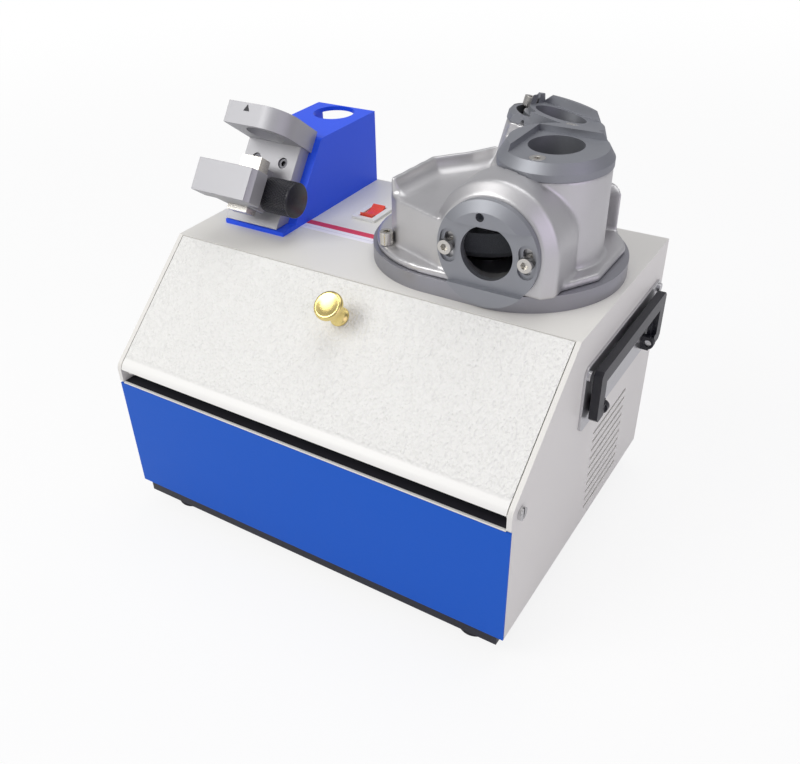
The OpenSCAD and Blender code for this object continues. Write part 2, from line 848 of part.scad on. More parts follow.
module bearings() {
    bore = shaft_d / 2 + run_c;
    color(steel) for (z = [motor_low + 3 - bearing_t, motor_top - cap_t]) on_spindle(z)
        rotate_extrude() difference() {
            translate([bore, 0]) square([bearing_d / 2 - bore, bearing_t]);
            // dished faces between the rings
            for (y = [-e, bearing_t - 1]) translate([shaft_d / 2 + 2, y])
                square([bearing_d / 2 - shaft_d / 2 - 4, 1 + e]);
        }
}

module spindle_shaft() {
    color(steel) on_spindle(shaft_low) cylinder(d = shaft_d, h = z_nut + 8 - shaft_low);
}

module rotor() {
    color(steel) on_spindle(motor_low + 14) difference() {
        cylinder(d = motor_d - 36 - 2 * move_c, h = motor_l - 28);
        translate([0, 0, -e]) cylinder(d = shaft_d, h = motor_l);
    }
}

// eight flat blades round a hub below the motor
module cooling_fan() {
    color(black) on_spindle(shaft_low + 2) difference() {
        union() {
            cylinder(d = 24, h = 11);
            cylinder(r = motor_d / 2 - 6, h = 1.6);
            for (a = [0:45:315]) rotate(a) translate([8, -0.8, 0]) cube([motor_d / 2 - 15, 1.6, 11]);
        }
        translate([0, 0, -e]) cylinder(d = shaft_d, h = 20);
    }
}

// the sleeve and flange under the grinding wheel
module wheel_hub() {
    low = z_top - 1;
    color(steel) on_spindle(low) difference() {
        union() {
            cylinder(d = hub_d - 8, h = z_wheel - low);
            translate([0, 0, z_wheel - low - 4]) cylinder(d = hub_d, h = 4);
        }
        translate([0, 0, -e]) cylinder(d = shaft_d, h = 40);
    }
}

// a cup wheel: its rim stands up round a thin floor
module grinding_wheel() {
    color("#6f7478") on_spindle(z_wheel) rotate_extrude() polygon([
        [shaft_d / 2, 0], [wheel_d / 2 - 3, 0], [wheel_d / 2, 4], [wheel_d / 2, wheel_t],
        [wheel_d / 2 - 9, wheel_t], [wheel_d / 2 - 12, 7], [shaft_d / 2, 7]]);
}

module wheel_nut() {
    color(steel) on_spindle(z_nut) difference() {
        union() {
            cylinder(d = 24, h = 1.6);
            translate([0, 0, 1.6]) cylinder(d = 19, h = 5, $fn = 6);
        }
        translate([0, 0, -e]) cylinder(d = shaft_d, h = 20);
    }
}

// ---- grinding head ----

module plate_outline(r) {
    for (x = plate_x) translate([x, plate_y]) circle(r);
    translate([plate_x[0], plate_y - r]) square([plate_x[1] - plate_x[0], 2 * r]);
}

module plate_screw_places() {
    for (p = head_screws_xy) translate([p[0], p[1], 0]) children();
}

// screws on the right come up through the top from inside, where the casting hides them
module under_screw_places() {
    for (p = under_screws_xy) translate([p[0], p[1], z_top - wall_t]) children();
}

// the space of the front ring, which cuts into the plates below the boss
module front_ring_room() {
    translate([front_x, boss_y, front_z]) rotate([90, 0, 0]) cylinder(r = side_ring_r + move_c, h = 20);
}

module head_plate() {
    color(aluminium) difference() {
        translate([0, 0, z_top]) linear_extrude(plate_t) plate_outline(plate_r);
        on_spindle(z_top - 1) cylinder(d = hub_d + 8, h = plate_t + 2);
        plate_screw_places() translate([0, 0, z_top - 1])
            clear_hole(cap_shank, plate_t + 2);
        under_screw_places() clear_hole(cap_shank, under_screw_l + 0.5);
        front_ring_room();
    }
}

module head_screws() {
    color(steel) {
        plate_screw_places() translate([0, 0, z_tier])
            cap_screw(cap_shank, plate_t + tier_h + wall_t + 2, cap_d, cap_h + 3);
        under_screw_places() mirror([0, 0, 1]) cap_screw(cap_shank, under_screw_l, cap_d, cap_h);
    }
}

// the flange of the casting: the plate's outline drawn in, with two flats on the right
module tier_outline() {
    intersection() {
        plate_outline(tier_r);
        polygon(tier_edge);
    }
}

// places children on a line of the plan: x along it, y to its left
module on_edge(a, b) {
    translate([a[0], a[1], 0]) rotate(atan2(b[1] - a[1], b[0] - a[0])) children();
}

// the fin along the left and back of the wheel housing, with a hollow round foot
module lobe_fin() {
    fin_t = 3.2;
    foot_r = 9;
    step = 0.1;
    low = foot_r + 2 + 2 * step;
    for (i = [0 : len(lobe_left) - 2]) {
        a = lobe_left[i];
        b = lobe_left[i + 1];
        on_edge(a, b) translate([0, 0, z_lobe - 2]) rotate([90, 0, 90])
            linear_extrude(norm(b - a)) difference() {
                translate([-fin_t - foot_r, 0]) square([fin_t + foot_r - step, fin_h + 2]);
                translate([-fin_t - foot_r, low]) circle(foot_r);
                translate([-fin_t - foot_r - 1, low]) square([foot_r + 1, 9]);
            }
    }
}

// the outline of the wheel housing
module lobe_outline() {
    polygon(concat(lobe_left, [[52, 88], [85, 90], [100, 55], [110, 20], [100, -10]],
        [lobe_front[1], lobe_front[0]]));
}

// the boss behind the front ring: round above, straight sided below, chamfered at its face
module front_boss() {
    r = boss_r - boss_c;
    depth = drum_y - 22 - boss_y;
    translate([front_x, boss_y, front_z]) {
        rotate([-90, 0, 0]) rotate_extrude() polygon([
            [0, 0], [r, 0], [boss_r, boss_c], [boss_r, depth], [0, depth]]);
        translate([0, 0, z_plate - front_z]) linear_extrude(front_z - z_plate) polygon([
            [-r, 0], [r, 0], [boss_r, boss_c], [boss_r, depth], [-boss_r, depth], [-boss_r, boss_c]]);
    }
}

// the drum under the leaning rear ring, along its own axis from the ring's floor down
module on_rear() {
    translate([rear_x, rear_y, rear_z]) rotate(rear_turn) rotate([0, rear_lean, 0])
        rotate(-rear_turn) children();
}

// the casting of the head: wheel chamber, boss, two drums, buttress and flange in one piece
module head_body() {
    color(aluminium) difference() {
        union() {
            translate([0, 0, z_plate]) linear_extrude(tier_h) tier_outline();
            translate([0, 0, z_plate]) linear_extrude(lobe_h - plate_t) lobe_outline();
            lobe_fin();
            intersection() {
                front_boss();
                translate([0, boss_y - 1, z_plate]) cube([200, 100, 100]);
            }
            translate([drum_x, drum_y, z_plate]) cylinder(r = drum_r, h = z_port - ring_t - z_plate);
            rear_drum();
            buttress();
        }
        on_spindle(z_plate - e) cylinder(r = chamber_r, h = chamber_top - z_plate + e);
        translate([drum_x, drum_y, z_tier]) cylinder(r = hollow_r, h = head_h);
        intersection() {
            on_rear() translate([0, 0, -72]) cylinder(r = hollow_r, h = 80);
            translate([0, 0, z_tier]) cube([200, 200, 100]);
        }
        translate([front_x, wheel_y, front_z]) rotate([90, 0, 0]) cylinder(r = hollow_r, h = 60);
        // the seat of the front ring, its screws and the screws of the flange
        front_ring_room();
        translate([drum_x, drum_y, z_port - ring_t]) cylinder(r = top_ring_r + move_c, h = 20);
        on_rear() translate([0, 0, -ring_t]) cylinder(r = side_ring_r + move_c, h = 20);
        front_screw_places() rotate([90, 0, 0]) translate([0, 0, -6.2])
            clear_hole(cap_shank, 7);
        plate_screw_places() translate([0, 0, z_plate - 1])
            clear_hole(cap_shank, tier_h + 2);
        top_screw_place() translate([0, 0, -ring_t - 9])
            clear_hole(ring_screw_d, 10);
        on_rear() translate(rear_screw_xy) translate([0, 0, -ring_t - 9])
            clear_hole(ring_screw_d, 10);
        rear_slot_screw_place() translate([0, 0, -ring_t - 6]) clear_hole(screw_d, 12);
    }
}

// the rear drum, cut off above the flange and in front of the seam between the rings
module rear_drum() {
    intersection() {
        on_rear() translate([0, 0, -90]) cylinder(r = side_ring_r - 0.5, h = 90 - ring_t);
        union() {
            translate([0, 0, z_plate]) cube([200, 200, z_port - ring_t - z_plate]);
            translate([0, seam_y + seam_c / 2, z_plate]) cube([200, 200, 100]);
        }
    }
}

module buttress() {
    intersection() {
        translate([0, 0, z_plate]) linear_extrude(buttress_h) tier_outline();
        translate([buttress_x - 15, buttress_y, z_plate]) rotate([90, 0, 90]) linear_extrude(60) polygon([
            [0, 0], [0, buttress_h - 4], [4, buttress_h], [16, buttress_h], [16, 0]]);
    }
}

// a curved slot about the middle of a ring, starting at its right
module arc_slot(r, w, half, h) {
    rotate(-half) rotate_extrude(angle = 2 * half) translate([r - w / 2, 0]) square([w, h]);
    for (s = [-1, 1]) rotate(s * half) translate([r, 0, 0]) cylinder(d = w, h = h);
}

module front_screw_places() {
    for (s = [-1, 1]) translate([front_x + s * slot_r, boss_y, front_z]) children();
}

// the front ring: raised above and below its channel, turning a little about the two screws
module front_port_ring() {
    r = side_ring_r;
    t = front_t;
    floor_t = t - rim_h;
    color("#9aa3ad") translate([front_x, boss_y - seam_c / 3, front_z]) rotate([90, 0, 0])
        difference() {
            union() {
                cylinder(r = r, h = floor_t - seam_c / 3);
                intersection() {
                    cylinder(r1 = r + t - 1, r2 = r - 6, h = t - seam_c / 3);
                    cylinder(r = r, h = t);
                    translate([-r, port_r + 0.4, 0]) cube([2 * r, r, t]);
                }
                intersection() {
                    cylinder(r = r, h = t - seam_c / 3);
                    translate([-r, -20.5 - r, 0]) cube([2 * r, r, t]);
                }
            }
            translate([0, 0, -1]) cylinder(r = port_r, h = t + 2);
            translate([-3, 22, 1.5]) cylinder(d = 5, h = t);
            for (a = [0, 180]) rotate(a) {
                translate([0, 0, -1]) arc_slot(slot_r, cap_shank + 0.6, slot_swing, t + 2);
                translate([0, 0, floor_t - 1.6]) arc_slot(slot_r, recess_w, slot_swing, t);
            }
        }
}

// a ring of the upper ports: floor at z = 0, raised rims beyond its left and back walls
module port_ring(r, rim) {
    difference() {
        union() {
            translate([0, 0, -ring_t]) cylinder(r = r, h = ring_t - 5.6 + e);
            translate([0, 0, -5.6]) cylinder(r1 = r, r2 = r - 3.4, h = 5.6);
            intersection() {
                translate([0, 0, -e]) cylinder(r1 = r - 3.4, r2 = r - 3.4 - rim * 0.6, h = rim);
                union() {
                    translate([wall_left - r, -r, -e]) cube([r, 2 * r, 9]);
                    translate([-r, wall_back, -e]) cube([2 * r, r, 9]);
                }
            }
            translate([0, 0, -ring_t - spigot_h]) cylinder(r = hollow_r - run_c, h = spigot_h + e);
        }
        translate([0, 0, -ring_t * 2]) cylinder(r = port_r, h = ring_t * 3);
    }
}

module top_screw_place() {
    translate([drum_x - 1, drum_y - 23.6, z_port]) children();
}

// the socket screw at the end of the rear ring's curved slot

module rear_slot_screw_place() {
    on_rear() rotate(rear_slot_a - rear_slot_swing) translate([slot_r, 0, -rear_recess]) children();
}

module top_port_ring() {
    color("#9aa3ad") difference() {
        translate([drum_x, drum_y, z_port]) port_ring(top_ring_r, rim_h);
        top_screw_place()
            flat_hole(ring_screw_d, ring_t + 9, ring_screw_head);
        translate([0, seam_y - seam_c / 2, z_port - ring_t - 1]) cube([200, 99, 99]);
    }
}

module rear_port_ring() {
    color("#9aa3ad") difference() {
        on_rear() difference() {
            port_ring(side_ring_r, rear_rim_h);
            rotate(rear_slot_a) {
                translate([0, 0, -ring_t - 1]) arc_slot(slot_r, screw_d + 1, rear_slot_swing, 40);
                translate([0, 0, -rear_recess]) arc_slot(slot_r, recess_w, rear_slot_swing, 40);
            }
            translate(rear_screw_xy)
                flat_hole(ring_screw_d, ring_t + 9, ring_screw_head);
        }
        translate([0, -99 + seam_y + seam_c / 2, z_port - ring_t - 1]) cube([200, 99, 99]);
    }
}

// socket screws in the curved slots of the front and the rear ring
module port_screws() {
    color(steel) {
        front_screw_places() rotate([90, 0, 0]) translate([0, 0, front_t - rim_h - 1.6 + seam_c])
            cap_screw(cap_shank, front_t - rim_h - 1.6 + seam_c + 6, cap_d, cap_h);
        rear_slot_screw_place() cap_screw(screw_d, ring_t - rear_recess + 8, cap_d, cap_h + 1);
    }
}

module ring_screws() {
    color(steel) {
        top_screw_place() flat_screw(ring_screw_d, ring_t + 8, ring_screw_head);
        on_rear() translate(rear_screw_xy) flat_screw(ring_screw_d, ring_t + 8, ring_screw_head);
    }
}

// ---- setting gauge ----

// the bracket's outline from the side, drawn in by a distance
module stand_outline(d) {
    r = 4;
    ty = stand_front + stand_h / tan(stand_a);
    c = [ty + r * tan(stand_a / 2), stand_h - r];
    polygon([
        [stand_front + d / sin(stand_a), 0],
        [c[0] - (r - d) * sin(stand_a), c[1] + (r - d) * cos(stand_a)],
        [c[0], stand_h - d], [stand_back + (d > 0 ? 9 : 0), stand_h - d],
        [stand_back + (d > 0 ? 9 : 0), 0]]);
    translate(c) circle(r - d);
}

module bracket_screw_places() {
    for (s = [-1, 1]) {
        translate([stand_x + s * 14, stand_front - 5, z_top]) children();
        translate([stand_x + s * (stand_w / 2 - 10), stand_back - 22, z_top]) children();
    }
}

// the bent sheet bracket, open at the back, with feet in front and along its sides
module gauge_bracket() {
    x0 = stand_x - stand_w / 2;
    color("#3a55c8") difference() {
        union() {
            translate([0, 0, z_top]) difference() {
                across(x0, x0 + stand_w) stand_outline(0);
                translate([0, 0, -e]) across(x0 + stand_t, x0 + stand_w - stand_t) stand_outline(stand_t);
            }
            translate([x0, stand_front - 12, z_top]) cube([stand_w, 12 + stand_t, stand_t]);
            for (s = [0, 1]) translate([x0 + s * (stand_w - 16), stand_back - 40, z_top])
                cube([16, 36, stand_t]);
        }
        bracket_screw_places() translate([0, 0, stand_t])
            flat_hole(screw_d, 5, flat_head);
        translate([stand_x, stand_back - 16, z_top + stand_h - stand_t - 5])
            cylinder(d = bracket_hole, h = 20);
        frame_screw_places() translate([0, 0, -2 * stand_t])
            clear_hole(screw_d, 3 * stand_t);
    }
}

module bracket_screws() {
    color(steel) bracket_screw_places() translate([0, 0, stand_t])
        flat_screw(screw_d, stand_t + wall_t + 2, flat_head);
}

// places children on the bracket's slope: y up it, z standing off it
module on_stand() {
    translate([0, stand_front, z_top]) rotate([stand_a, 0, 0]) children();
}

module frame_screw_places() {
    on_stand() for (x = [-12.4, 10.4]) translate([gauge_x + x, 40.6, 0]) children();
}

// the gauge's frame: a plate on the slope with the flange of the bore at its top
module gauge_frame() {
    w = gauge_w;
    bore_n = flange_n - 16;
    color(aluminium) difference() {
        intersection() {
            on_stand() {
                translate([gauge_x - w / 2, -6, 0]) cube([w - 2, flange_s + 6 + e, frame_n]);
                translate([gauge_x - 5, slider_s0, frame_n - e])
                    cube([10, rail_s1 - slider_s0 - 4, rail_n - frame_n + e]);
                translate([0, flange_s + flange_t, 0]) rotate([90, 0, 0]) linear_extrude(flange_t) {
                    translate([gauge_x - w / 2, 0]) square([w, flange_n - 18]);
                    translate([gauge_x - w / 2, 0]) square([w - 18, flange_n]);
                    translate([gauge_x + w / 2 - 18, flange_n - 18]) circle(18);
                }
            }
            translate([-x_side, y_front, z_top + stand_t + seam_c]) cube([body_w, body_d, 200]);
        }
        on_stand() translate([gauge_x + 1, flange_s - 1, bore_n]) rotate([-90, 0, 0])
            cylinder(d = gauge_bore, h = 99);
        frame_screw_places() {
            clear_hole(screw_d, frame_n + 1);
            translate([0, 0, frame_n - 4]) cylinder(d = 7.4, h = 9);
        }
        rail_screw_places() translate([0, 0, -rail_t - 9]) clear_hole(screw_d, 12);
    }
}

module rail_screw_places() {
    on_stand() for (s = [9, 25]) translate([gauge_x, s, rail_n + rail_t]) children();
}

// screws of the frame and of the rail on it
module gauge_frame_screws() {
    color(steel) {
        frame_screw_places() translate([0, 0, frame_n - 4])
            cap_screw(screw_d, frame_n - 4 + stand_t + 2, 7, 3);
        rail_screw_places() flat_screw(screw_d, rail_t + 7.5, flat_head);
    }
}

module gauge_rail() {
    color(steel) difference() {
        on_stand() translate([gauge_x - rail_w / 2, 0, rail_n]) cube([rail_w, rail_s1, rail_t]);
        rail_screw_places() flat_hole(screw_d, rail_t + 1, flat_head);
    }
}

// the slider: a block across the rail, on a lug with a channel that fits the rail
module gauge_slider() {
    color(aluminium) on_stand() difference() {
        union() {
            translate([gauge_x - gauge_w / 2, slider_s0, slider_n]) cube([gauge_w, slider_s, slider_t]);
            translate([gauge_x - lug_w / 2, slider_s0, lug_n])
                cube([lug_w, slider_s, slider_n - lug_n + e]);
        }
        translate([gauge_x - rail_w / 2 - move_c, slider_s0 - 1, lug_n - 1])
            cube([rail_w + 2 * move_c, slider_s + 2, rail_n + rail_t + move_c - lug_n + 1]);
        translate([gauge_x, clamp_s, clamp_n]) rotate([0, 90, 0])
            clear_hole(clamp_thread, 30);
        // a shallow groove across the face of the block
        translate([gauge_x + gauge_w / 2 - 5, slider_s0 - 1, slider_n + slider_t - 3]) rotate([0, 45, 0])
            translate([0, 0, 3]) cube([9, slider_s + 2, 9]);
    }
}

// the knurled knob whose screw holds the slider on the rail
module clamp_knob() {
    tip = rail_w / 2 + 0.3;
    collar = lug_w / 2 + move_c;
    ribs = 36;
    color(black) on_stand() translate([gauge_x, clamp_s, clamp_n]) rotate([0, 90, 0]) {
        translate([0, 0, tip]) cylinder(d = clamp_thread, h = clamp_x - gauge_x - tip + e);
        translate([0, 0, collar]) cylinder(d = 13, h = clamp_x - gauge_x - collar + e);
        translate([0, 0, clamp_x - gauge_x]) difference() {
            cylinder(d = clamp_d, h = clamp_l);
            for (i = [1:ribs]) rotate(i * 360 / ribs) translate([clamp_d / 2, 0, 1.5]) rotate(45)
                cube([0.9, 0.9, clamp_l * 2 - 6], center = true);
        }
    }
}

// ---- the assembly ----

base_pan();
rubber_feet();
foot_screws();
housing_shell();
rear_panel();
front_panel();
front_rail();
top_rail();
tray_wall();
collet_tray();
catch_magnets();
panel_screws();
front_cover();
cover_knob();
knob_screw();
hinge_pins();
switch_body();
rocker();
inlet_socket();
inlet_pins();
handle_plates();
handle_brackets();
handle_pins();
handle_right();
handle_left();
motor_case();
motor_top_cap();
motor_bottom_cap();
motor_bolts();
stator();
bearings();
spindle_shaft();
rotor();
cooling_fan();
wheel_hub();
grinding_wheel();
wheel_nut();
head_plate();
head_body();
head_screws();
front_port_ring();
top_port_ring();
rear_port_ring();
port_screws();
ring_screws();
gauge_bracket();
bracket_screws();
gauge_frame();
gauge_frame_screws();
gauge_rail();
gauge_slider();
clamp_knob();
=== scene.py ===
"""Looks of the bench end mill sharpener, built round its fixed frame of named parts."""
import math

import bpy
import numpy as np
from mathutils import Matrix, Vector


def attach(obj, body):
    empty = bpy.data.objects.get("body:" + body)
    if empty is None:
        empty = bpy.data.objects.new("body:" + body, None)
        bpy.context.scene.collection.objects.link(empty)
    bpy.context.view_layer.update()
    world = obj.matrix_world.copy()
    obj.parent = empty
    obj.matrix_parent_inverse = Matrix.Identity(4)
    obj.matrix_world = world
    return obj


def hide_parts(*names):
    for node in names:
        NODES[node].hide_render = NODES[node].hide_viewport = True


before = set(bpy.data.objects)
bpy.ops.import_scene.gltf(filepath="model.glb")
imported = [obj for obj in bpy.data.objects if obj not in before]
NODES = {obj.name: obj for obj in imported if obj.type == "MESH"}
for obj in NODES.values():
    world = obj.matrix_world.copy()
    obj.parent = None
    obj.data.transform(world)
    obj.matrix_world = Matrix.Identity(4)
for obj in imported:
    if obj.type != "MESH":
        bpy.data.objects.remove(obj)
MM = 0.001

# places and sizes of the fine pieces, in millimetres
SLOPE = math.radians(40)        # how steeply the cover's face rises towards the back
STAND = math.radians(53.3)      # the same for the gauge's face
TOP_Z = 184                     # the housing's top
POLE_R = 0.2                    # radius of the small flat that closes each end of the cover knob

COVER_KNOB_AT = (0, -54.19, 168.32)
COVER_KNOB_R, COVER_KNOB_H = 9.5, 19
COVER_KNOB_FACES = 96           # faces round the knob
COVER_KNOB_PASSES = 3           # times that the corners of its profile are cut
COVER_KNOB_CROWN = 0.965        # height of the dished top's middle, as a share of the knob's
COVER_KNOB_SHAPE = [            # (share of the radius, share of the height), from the cover out
    (0.66, 0), (0.66, 0.08), (0.5, 0.16), (0.36, 0.34), (0.36, 0.5), (0.52, 0.64), (0.86, 0.74),
    (1, 0.84), (0.97, 0.95), (0.85, 1), (0.7, 0.992), (0.5, 0.975), (0.25, 0.967),
]
SLOT_SHADE_Y = -110.6                 # painted shade: the sill is black from here to the back, for the dark slot under the cover
TEXTURE_Y = (-107.5, -104.5)    # the cover's texture grows from none to full between these

# the clamp knob: radii, and heights along its axis, which runs from CLAMP_AT towards +x
CLAMP_AT = (-106, -4.763, 211.73)
CLAMP_SCREW_R, CLAMP_SCREW_TIP = 3, 8.55
COLLAR_R, COLLAR_LOW = 6.5, 13.3
STEM_CHAMFER = 0.4              # on the screw's tip and the collar
GRIP_R, GRIP_LOW, GRIP_HIGH = 11.5, 18.5, 41.5
GRIP_ROUND = 0.8                # how far the rounding of the grip's ends reaches
GRIP_ROUND_MIDDLE = 0.25        # how far in from both faces the rounding's middle lies
GRIP_ROWS = 72
CLAMP_POLE_R = 0.3              # the small flat that closes each of its ends
KNURL_FROM_LOW = 1.2            # plain length at the grip's lower end
KNURL_FROM_HIGH = 1.4           # and at its upper end
KNURL_FADE = 0.5                # then the knurls grow to full depth over this length
KNURL_SKIN = 0.2                # only what lies this near the grip's radius is knurled
KNURL_CLIMB = 1.9               # pitches along the grip from one groove of a set to the next
FACES_PER_RIB = 8

GAUGE_AT = (0, 6, TOP_Z)
INDEX_MARK = [(-115.3, 62.4), (-110.3, 62.4), (-112.8, 67)]    # corners on the gauge's face
INDEX_MARK_Z = (40.55, 40.68)   # its underside and its top, out along the face's normal

# the label strip's edges, and its two heights above the housing's top
LABEL_X, LABEL_Y, LABEL_Z = (-80, -20), (13, 26), (0.02, 0.14)
LABEL_BAND_Y = 20.2             # the coloured band lies beyond this
LABEL_LINE_Y = (16.2, 16.8)     # the thin line lies between these

# rounding of each kind of part, as a share of the edge radius
SHEET_EDGE, PANEL_EDGE, THIN_EDGE = 0.8, 0.6, 0.5
RING_EDGE, SCREW_EDGE, BRACKET_EDGE = 0.7, 0.4, 2
EDGE_ANGLE = 38                 # degrees: only edges steeper than this are rounded
RING_ANGLE = 20                 # degrees: less for the rings, whose chamfer is shallow
EDGE_SEGMENTS = 2
FACE_WEIGHT = 60                # how strongly large faces set the shading: 50 is even
WELD_REACH = 0.000002           # metres
FLAT_ANGLE = math.radians(0.5)  # faces this near to level are one face
CAST_PASSES, CAST_EASE = 6, 0.5     # passes of smoothing, and how strong each one is
KNOB_CRISP, GRIP_CRISP = 60, 50     # degrees: steeper edges stay crisp

# colours that stay as they are
ZINC = (0.42, 0.43, 0.45, 1)
MARK_INK = (0.03, 0.03, 0.035, 1)
PLATE_STEEL = (0.60, 0.60, 0.61, 1)
BLACKENED = (0.10, 0.10, 0.11, 1)
BRIGHT_PIN = (0.62, 0.62, 0.62, 1)
MOTOR_CAST = (0.36, 0.37, 0.39, 1)
VARNISH = (0.26, 0.10, 0.04, 1)
GROUND_STEEL = (0.55, 0.55, 0.56, 1)
GRIT = (0.07, 0.075, 0.085, 1)
LABEL_GROUND = (0.93, 0.91, 0.98, 1)
LABEL_LINE = (0.50, 0.48, 0.60, 1)
FLOOR_TONES = ((0.86, 0.86, 0.86, 1), (0.88, 0.88, 0.88, 1))
WHITE = (1, 1, 1, 1)

# the stage, in metres where no other unit is named
FLOOR_HALF, FLOOR_POINTS = 6.0, 9
FLOOR_WHITE = (500.0, 1800.0, 0.86, 1.0)    # two distances in mm, and how white the floor is
WORLD_TINT, WORLD_STRENGTH = (0.96, 0.96, 1.0, 1), 0.46
LAMP_AIM = (0, 0, 0.1)
LAMPS = [                       # name, place, width, watts, tint
    ("key", (-1.0, -1.5, 1.7), 1.3, 25.0, (1.0, 0.99, 0.97)),
    ("fill", (1.8, -0.6, 0.8), 1.4, 5.5, (0.86, 0.74, 1.0)),
    ("top", (0.1, 0.5, 2.3), 1.6, 13.0, (1.0, 1.0, 1.0)),
]
SENSOR_MM, LENS_MM = 36.0, 39.266
CAMERA_SHIFT = (0.0316, 0.0452)
CAMERA_FAR = 20
CAMERA_RIGHT = (0.84066, 0.54044, -0.03486)
CAMERA_UP = (-0.29593, 0.51234, 0.80619)
CAMERA_BACK = (0.45356, -0.66741, 0.59063)
CAMERA_AT = (0.27500, -0.42628, 0.42997)

bl_info = {
    "name": "End mill sharpener",
    "version": (1, 0, 0),
    "blender": (4, 5, 0),
    "location": "3D View > Sidebar > Sharpener",
    "description": "Builds the finishes and fine pieces of a bench end mill sharpener",
    "category": "Object",
}


# ---- surfaces from arrays ----

def grid_mesh(name, x, y, z, wrap=False, caps=False):
    """A mesh from three arrays of one shape: rows run along the shape, columns round it.

    Each face joins four neighbours (i, j), (i, j+1), (i+1, j+1), (i+1, j). With wrap the last
    column joins the first, and with caps one many-sided face closes each end.
    """
    rows, cols = x.shape
    verts = np.stack([x, y, z], axis=-1).reshape(-1, 3)
    i = np.arange(rows - 1)[:, None]
    j = np.arange(cols if wrap else cols - 1)[None, :]
    k = (j + 1) % cols
    quads = np.stack([i * cols + j, i * cols + k, (i + 1) * cols + k, (i + 1) * cols + j], axis=-1)
    faces = quads.reshape(-1, 4).tolist()
    if caps:
        faces.append(list(range(cols - 1, -1, -1)))
        faces.append(list(range((rows - 1) * cols, rows * cols)))
    mesh = bpy.data.meshes.new(name)
    mesh.from_pydata(verts.tolist(), [], faces)
    mesh.update()
    return mesh


def add_piece(name, mesh, material, body, smooth=True, replaces=()):
    """Puts a mesh in the scene as one piece that rides on a body."""
    obj = bpy.data.objects.new(name, mesh)
    bpy.context.scene.collection.objects.link(obj)
    if smooth:
        mesh.polygons.foreach_set("use_smooth", np.ones(len(mesh.polygons), dtype=bool))
    mesh.materials.append(material)
    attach(obj, body)
    if replaces:
        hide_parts(*replaces)
    return obj


def sharpen(obj, angle):
    """Keeps edges steeper than an angle in degrees crisp under smooth shading."""
    obj.data.set_sharp_from_angle(angle=math.radians(angle))


def rounded(points, times):
    """A path with its corners cut.

    Each pass swaps a corner for two points, a quarter of the way along the sides that meet there.
    """
    p = np.array(points, float)
    for _ in range(times):
        a, b = p[:-1], p[1:]
        cut = np.stack([0.75 * a + 0.25 * b, 0.25 * a + 0.75 * b], axis=1).reshape(-1, p.shape[1])
        p = np.vstack([p[:1], cut, p[-1:]])
    return p


def revolved(name, local, path, around, groove=None):
    """A turned piece: each (radius, height) of the path goes once round the frame's z axis.

    At an angle a, x is the radius times cos a, y is the radius times sin a and z is the height.
    If a groove is given, groove(radius, height, a) is first taken off the radius.
    """
    a = np.linspace(0, 2 * np.pi, around, endpoint=False)[None, :]
    r = path[:, 0][:, None] + 0 * a
    h = path[:, 1][:, None] + 0 * a
    if groove:
        r = r - groove(r, h, a)
    x, y, z = place(local, r * np.cos(a), r * np.sin(a), h)
    return grid_mesh(name, x * MM, y * MM, z * MM, wrap=True, caps=True)


def prism(name, local, outline, low, high):
    """A flat plate: its outline in the frame's x and y, at a lower and an upper z."""
    p = np.array(outline, float)
    x = np.stack([p[:, 0], p[:, 0]])
    y = np.stack([p[:, 1], p[:, 1]])
    z = np.array([[low], [high]]) + 0 * x
    x, y, z = place(local, x, y, z)
    return grid_mesh(name, x * MM, y * MM, z * MM, wrap=True, caps=True)


def frame_at(origin, across, along):
    """A turned frame as (origin, x axis, y axis, z axis), from its x and y directions.

    The z axis is the cross product of the other two.
    """
    ax = np.array(across, float)
    ay = np.array(along, float)
    ax /= np.linalg.norm(ax)
    ay /= np.linalg.norm(ay)
    return np.array(origin, float), ax, ay, np.cross(ax, ay)


def place(local, x, y, z):
    """Points of a turned frame in the shared one.

    Each is the frame's origin plus x, y and z times the frame's own three axes.
    """
    o, ax, ay, az = local
    return [o[i] + ax[i] * x + ay[i] * y + az[i] * z for i in range(3)]


# ---- shader helpers ----

class Value:
    """An output socket. Sums on one that carries a number add Math nodes."""

    def __init__(self, graph, out):
        self.graph, self.out = graph, out

    def _math(self, op, other, flip=False):
        """A Math node on this value and another, the other way round with flip."""
        a, b = (other, self) if flip else (self, other)
        return self.graph.node("ShaderNodeMath", {"operation": op}, {0: a, 1: b})

    def __add__(self, other): return self._math("ADD", other)
    def __radd__(self, other): return self._math("ADD", other, True)
    def __sub__(self, other): return self._math("SUBTRACT", other)
    def __rsub__(self, other): return self._math("SUBTRACT", other, True)
    def __mul__(self, other): return self._math("MULTIPLY", other)
    def __rmul__(self, other): return self._math("MULTIPLY", other, True)

    def largest(self, other):
        """The larger of the value and another."""
        return self._math("MAXIMUM", other)

    def above(self, other):
        """1 where the value is above another, else 0."""
        return self._math("GREATER_THAN", other)

    def between(self, low, high, to_low=0.0, to_high=1.0):
        """The value carried smoothly from one range to another and held at its ends."""
        return self.graph.node("ShaderNodeMapRange", {"interpolation_type": "SMOOTHSTEP"},
                               {"Value": self, "From Min": low, "From Max": high,
                                "To Min": to_low, "To Max": to_high})


class Tree:
    """The nodes of a material or the world."""

    def __init__(self, owner):
        owner.use_nodes = True
        self.tree = owner.node_tree

    def node(self, kind, settings=None, inputs=None, output=0):
        """Adds a node with its settings, then the values or links of its sockets."""
        n = self.tree.nodes.new(kind)
        for key, value in (settings or {}).items():
            setattr(n, key, value)
        for key, value in (inputs or {}).items():
            if isinstance(value, Value):
                self.tree.links.new(value.out, n.inputs[key])
            else:
                n.inputs[key].default_value = value
        return Value(self, n.outputs[output])

    def end(self, surface, last):
        """Leads a surface into the node that ends the tree."""
        self.tree.links.new(surface.out, self.tree.nodes[last].inputs["Surface"])


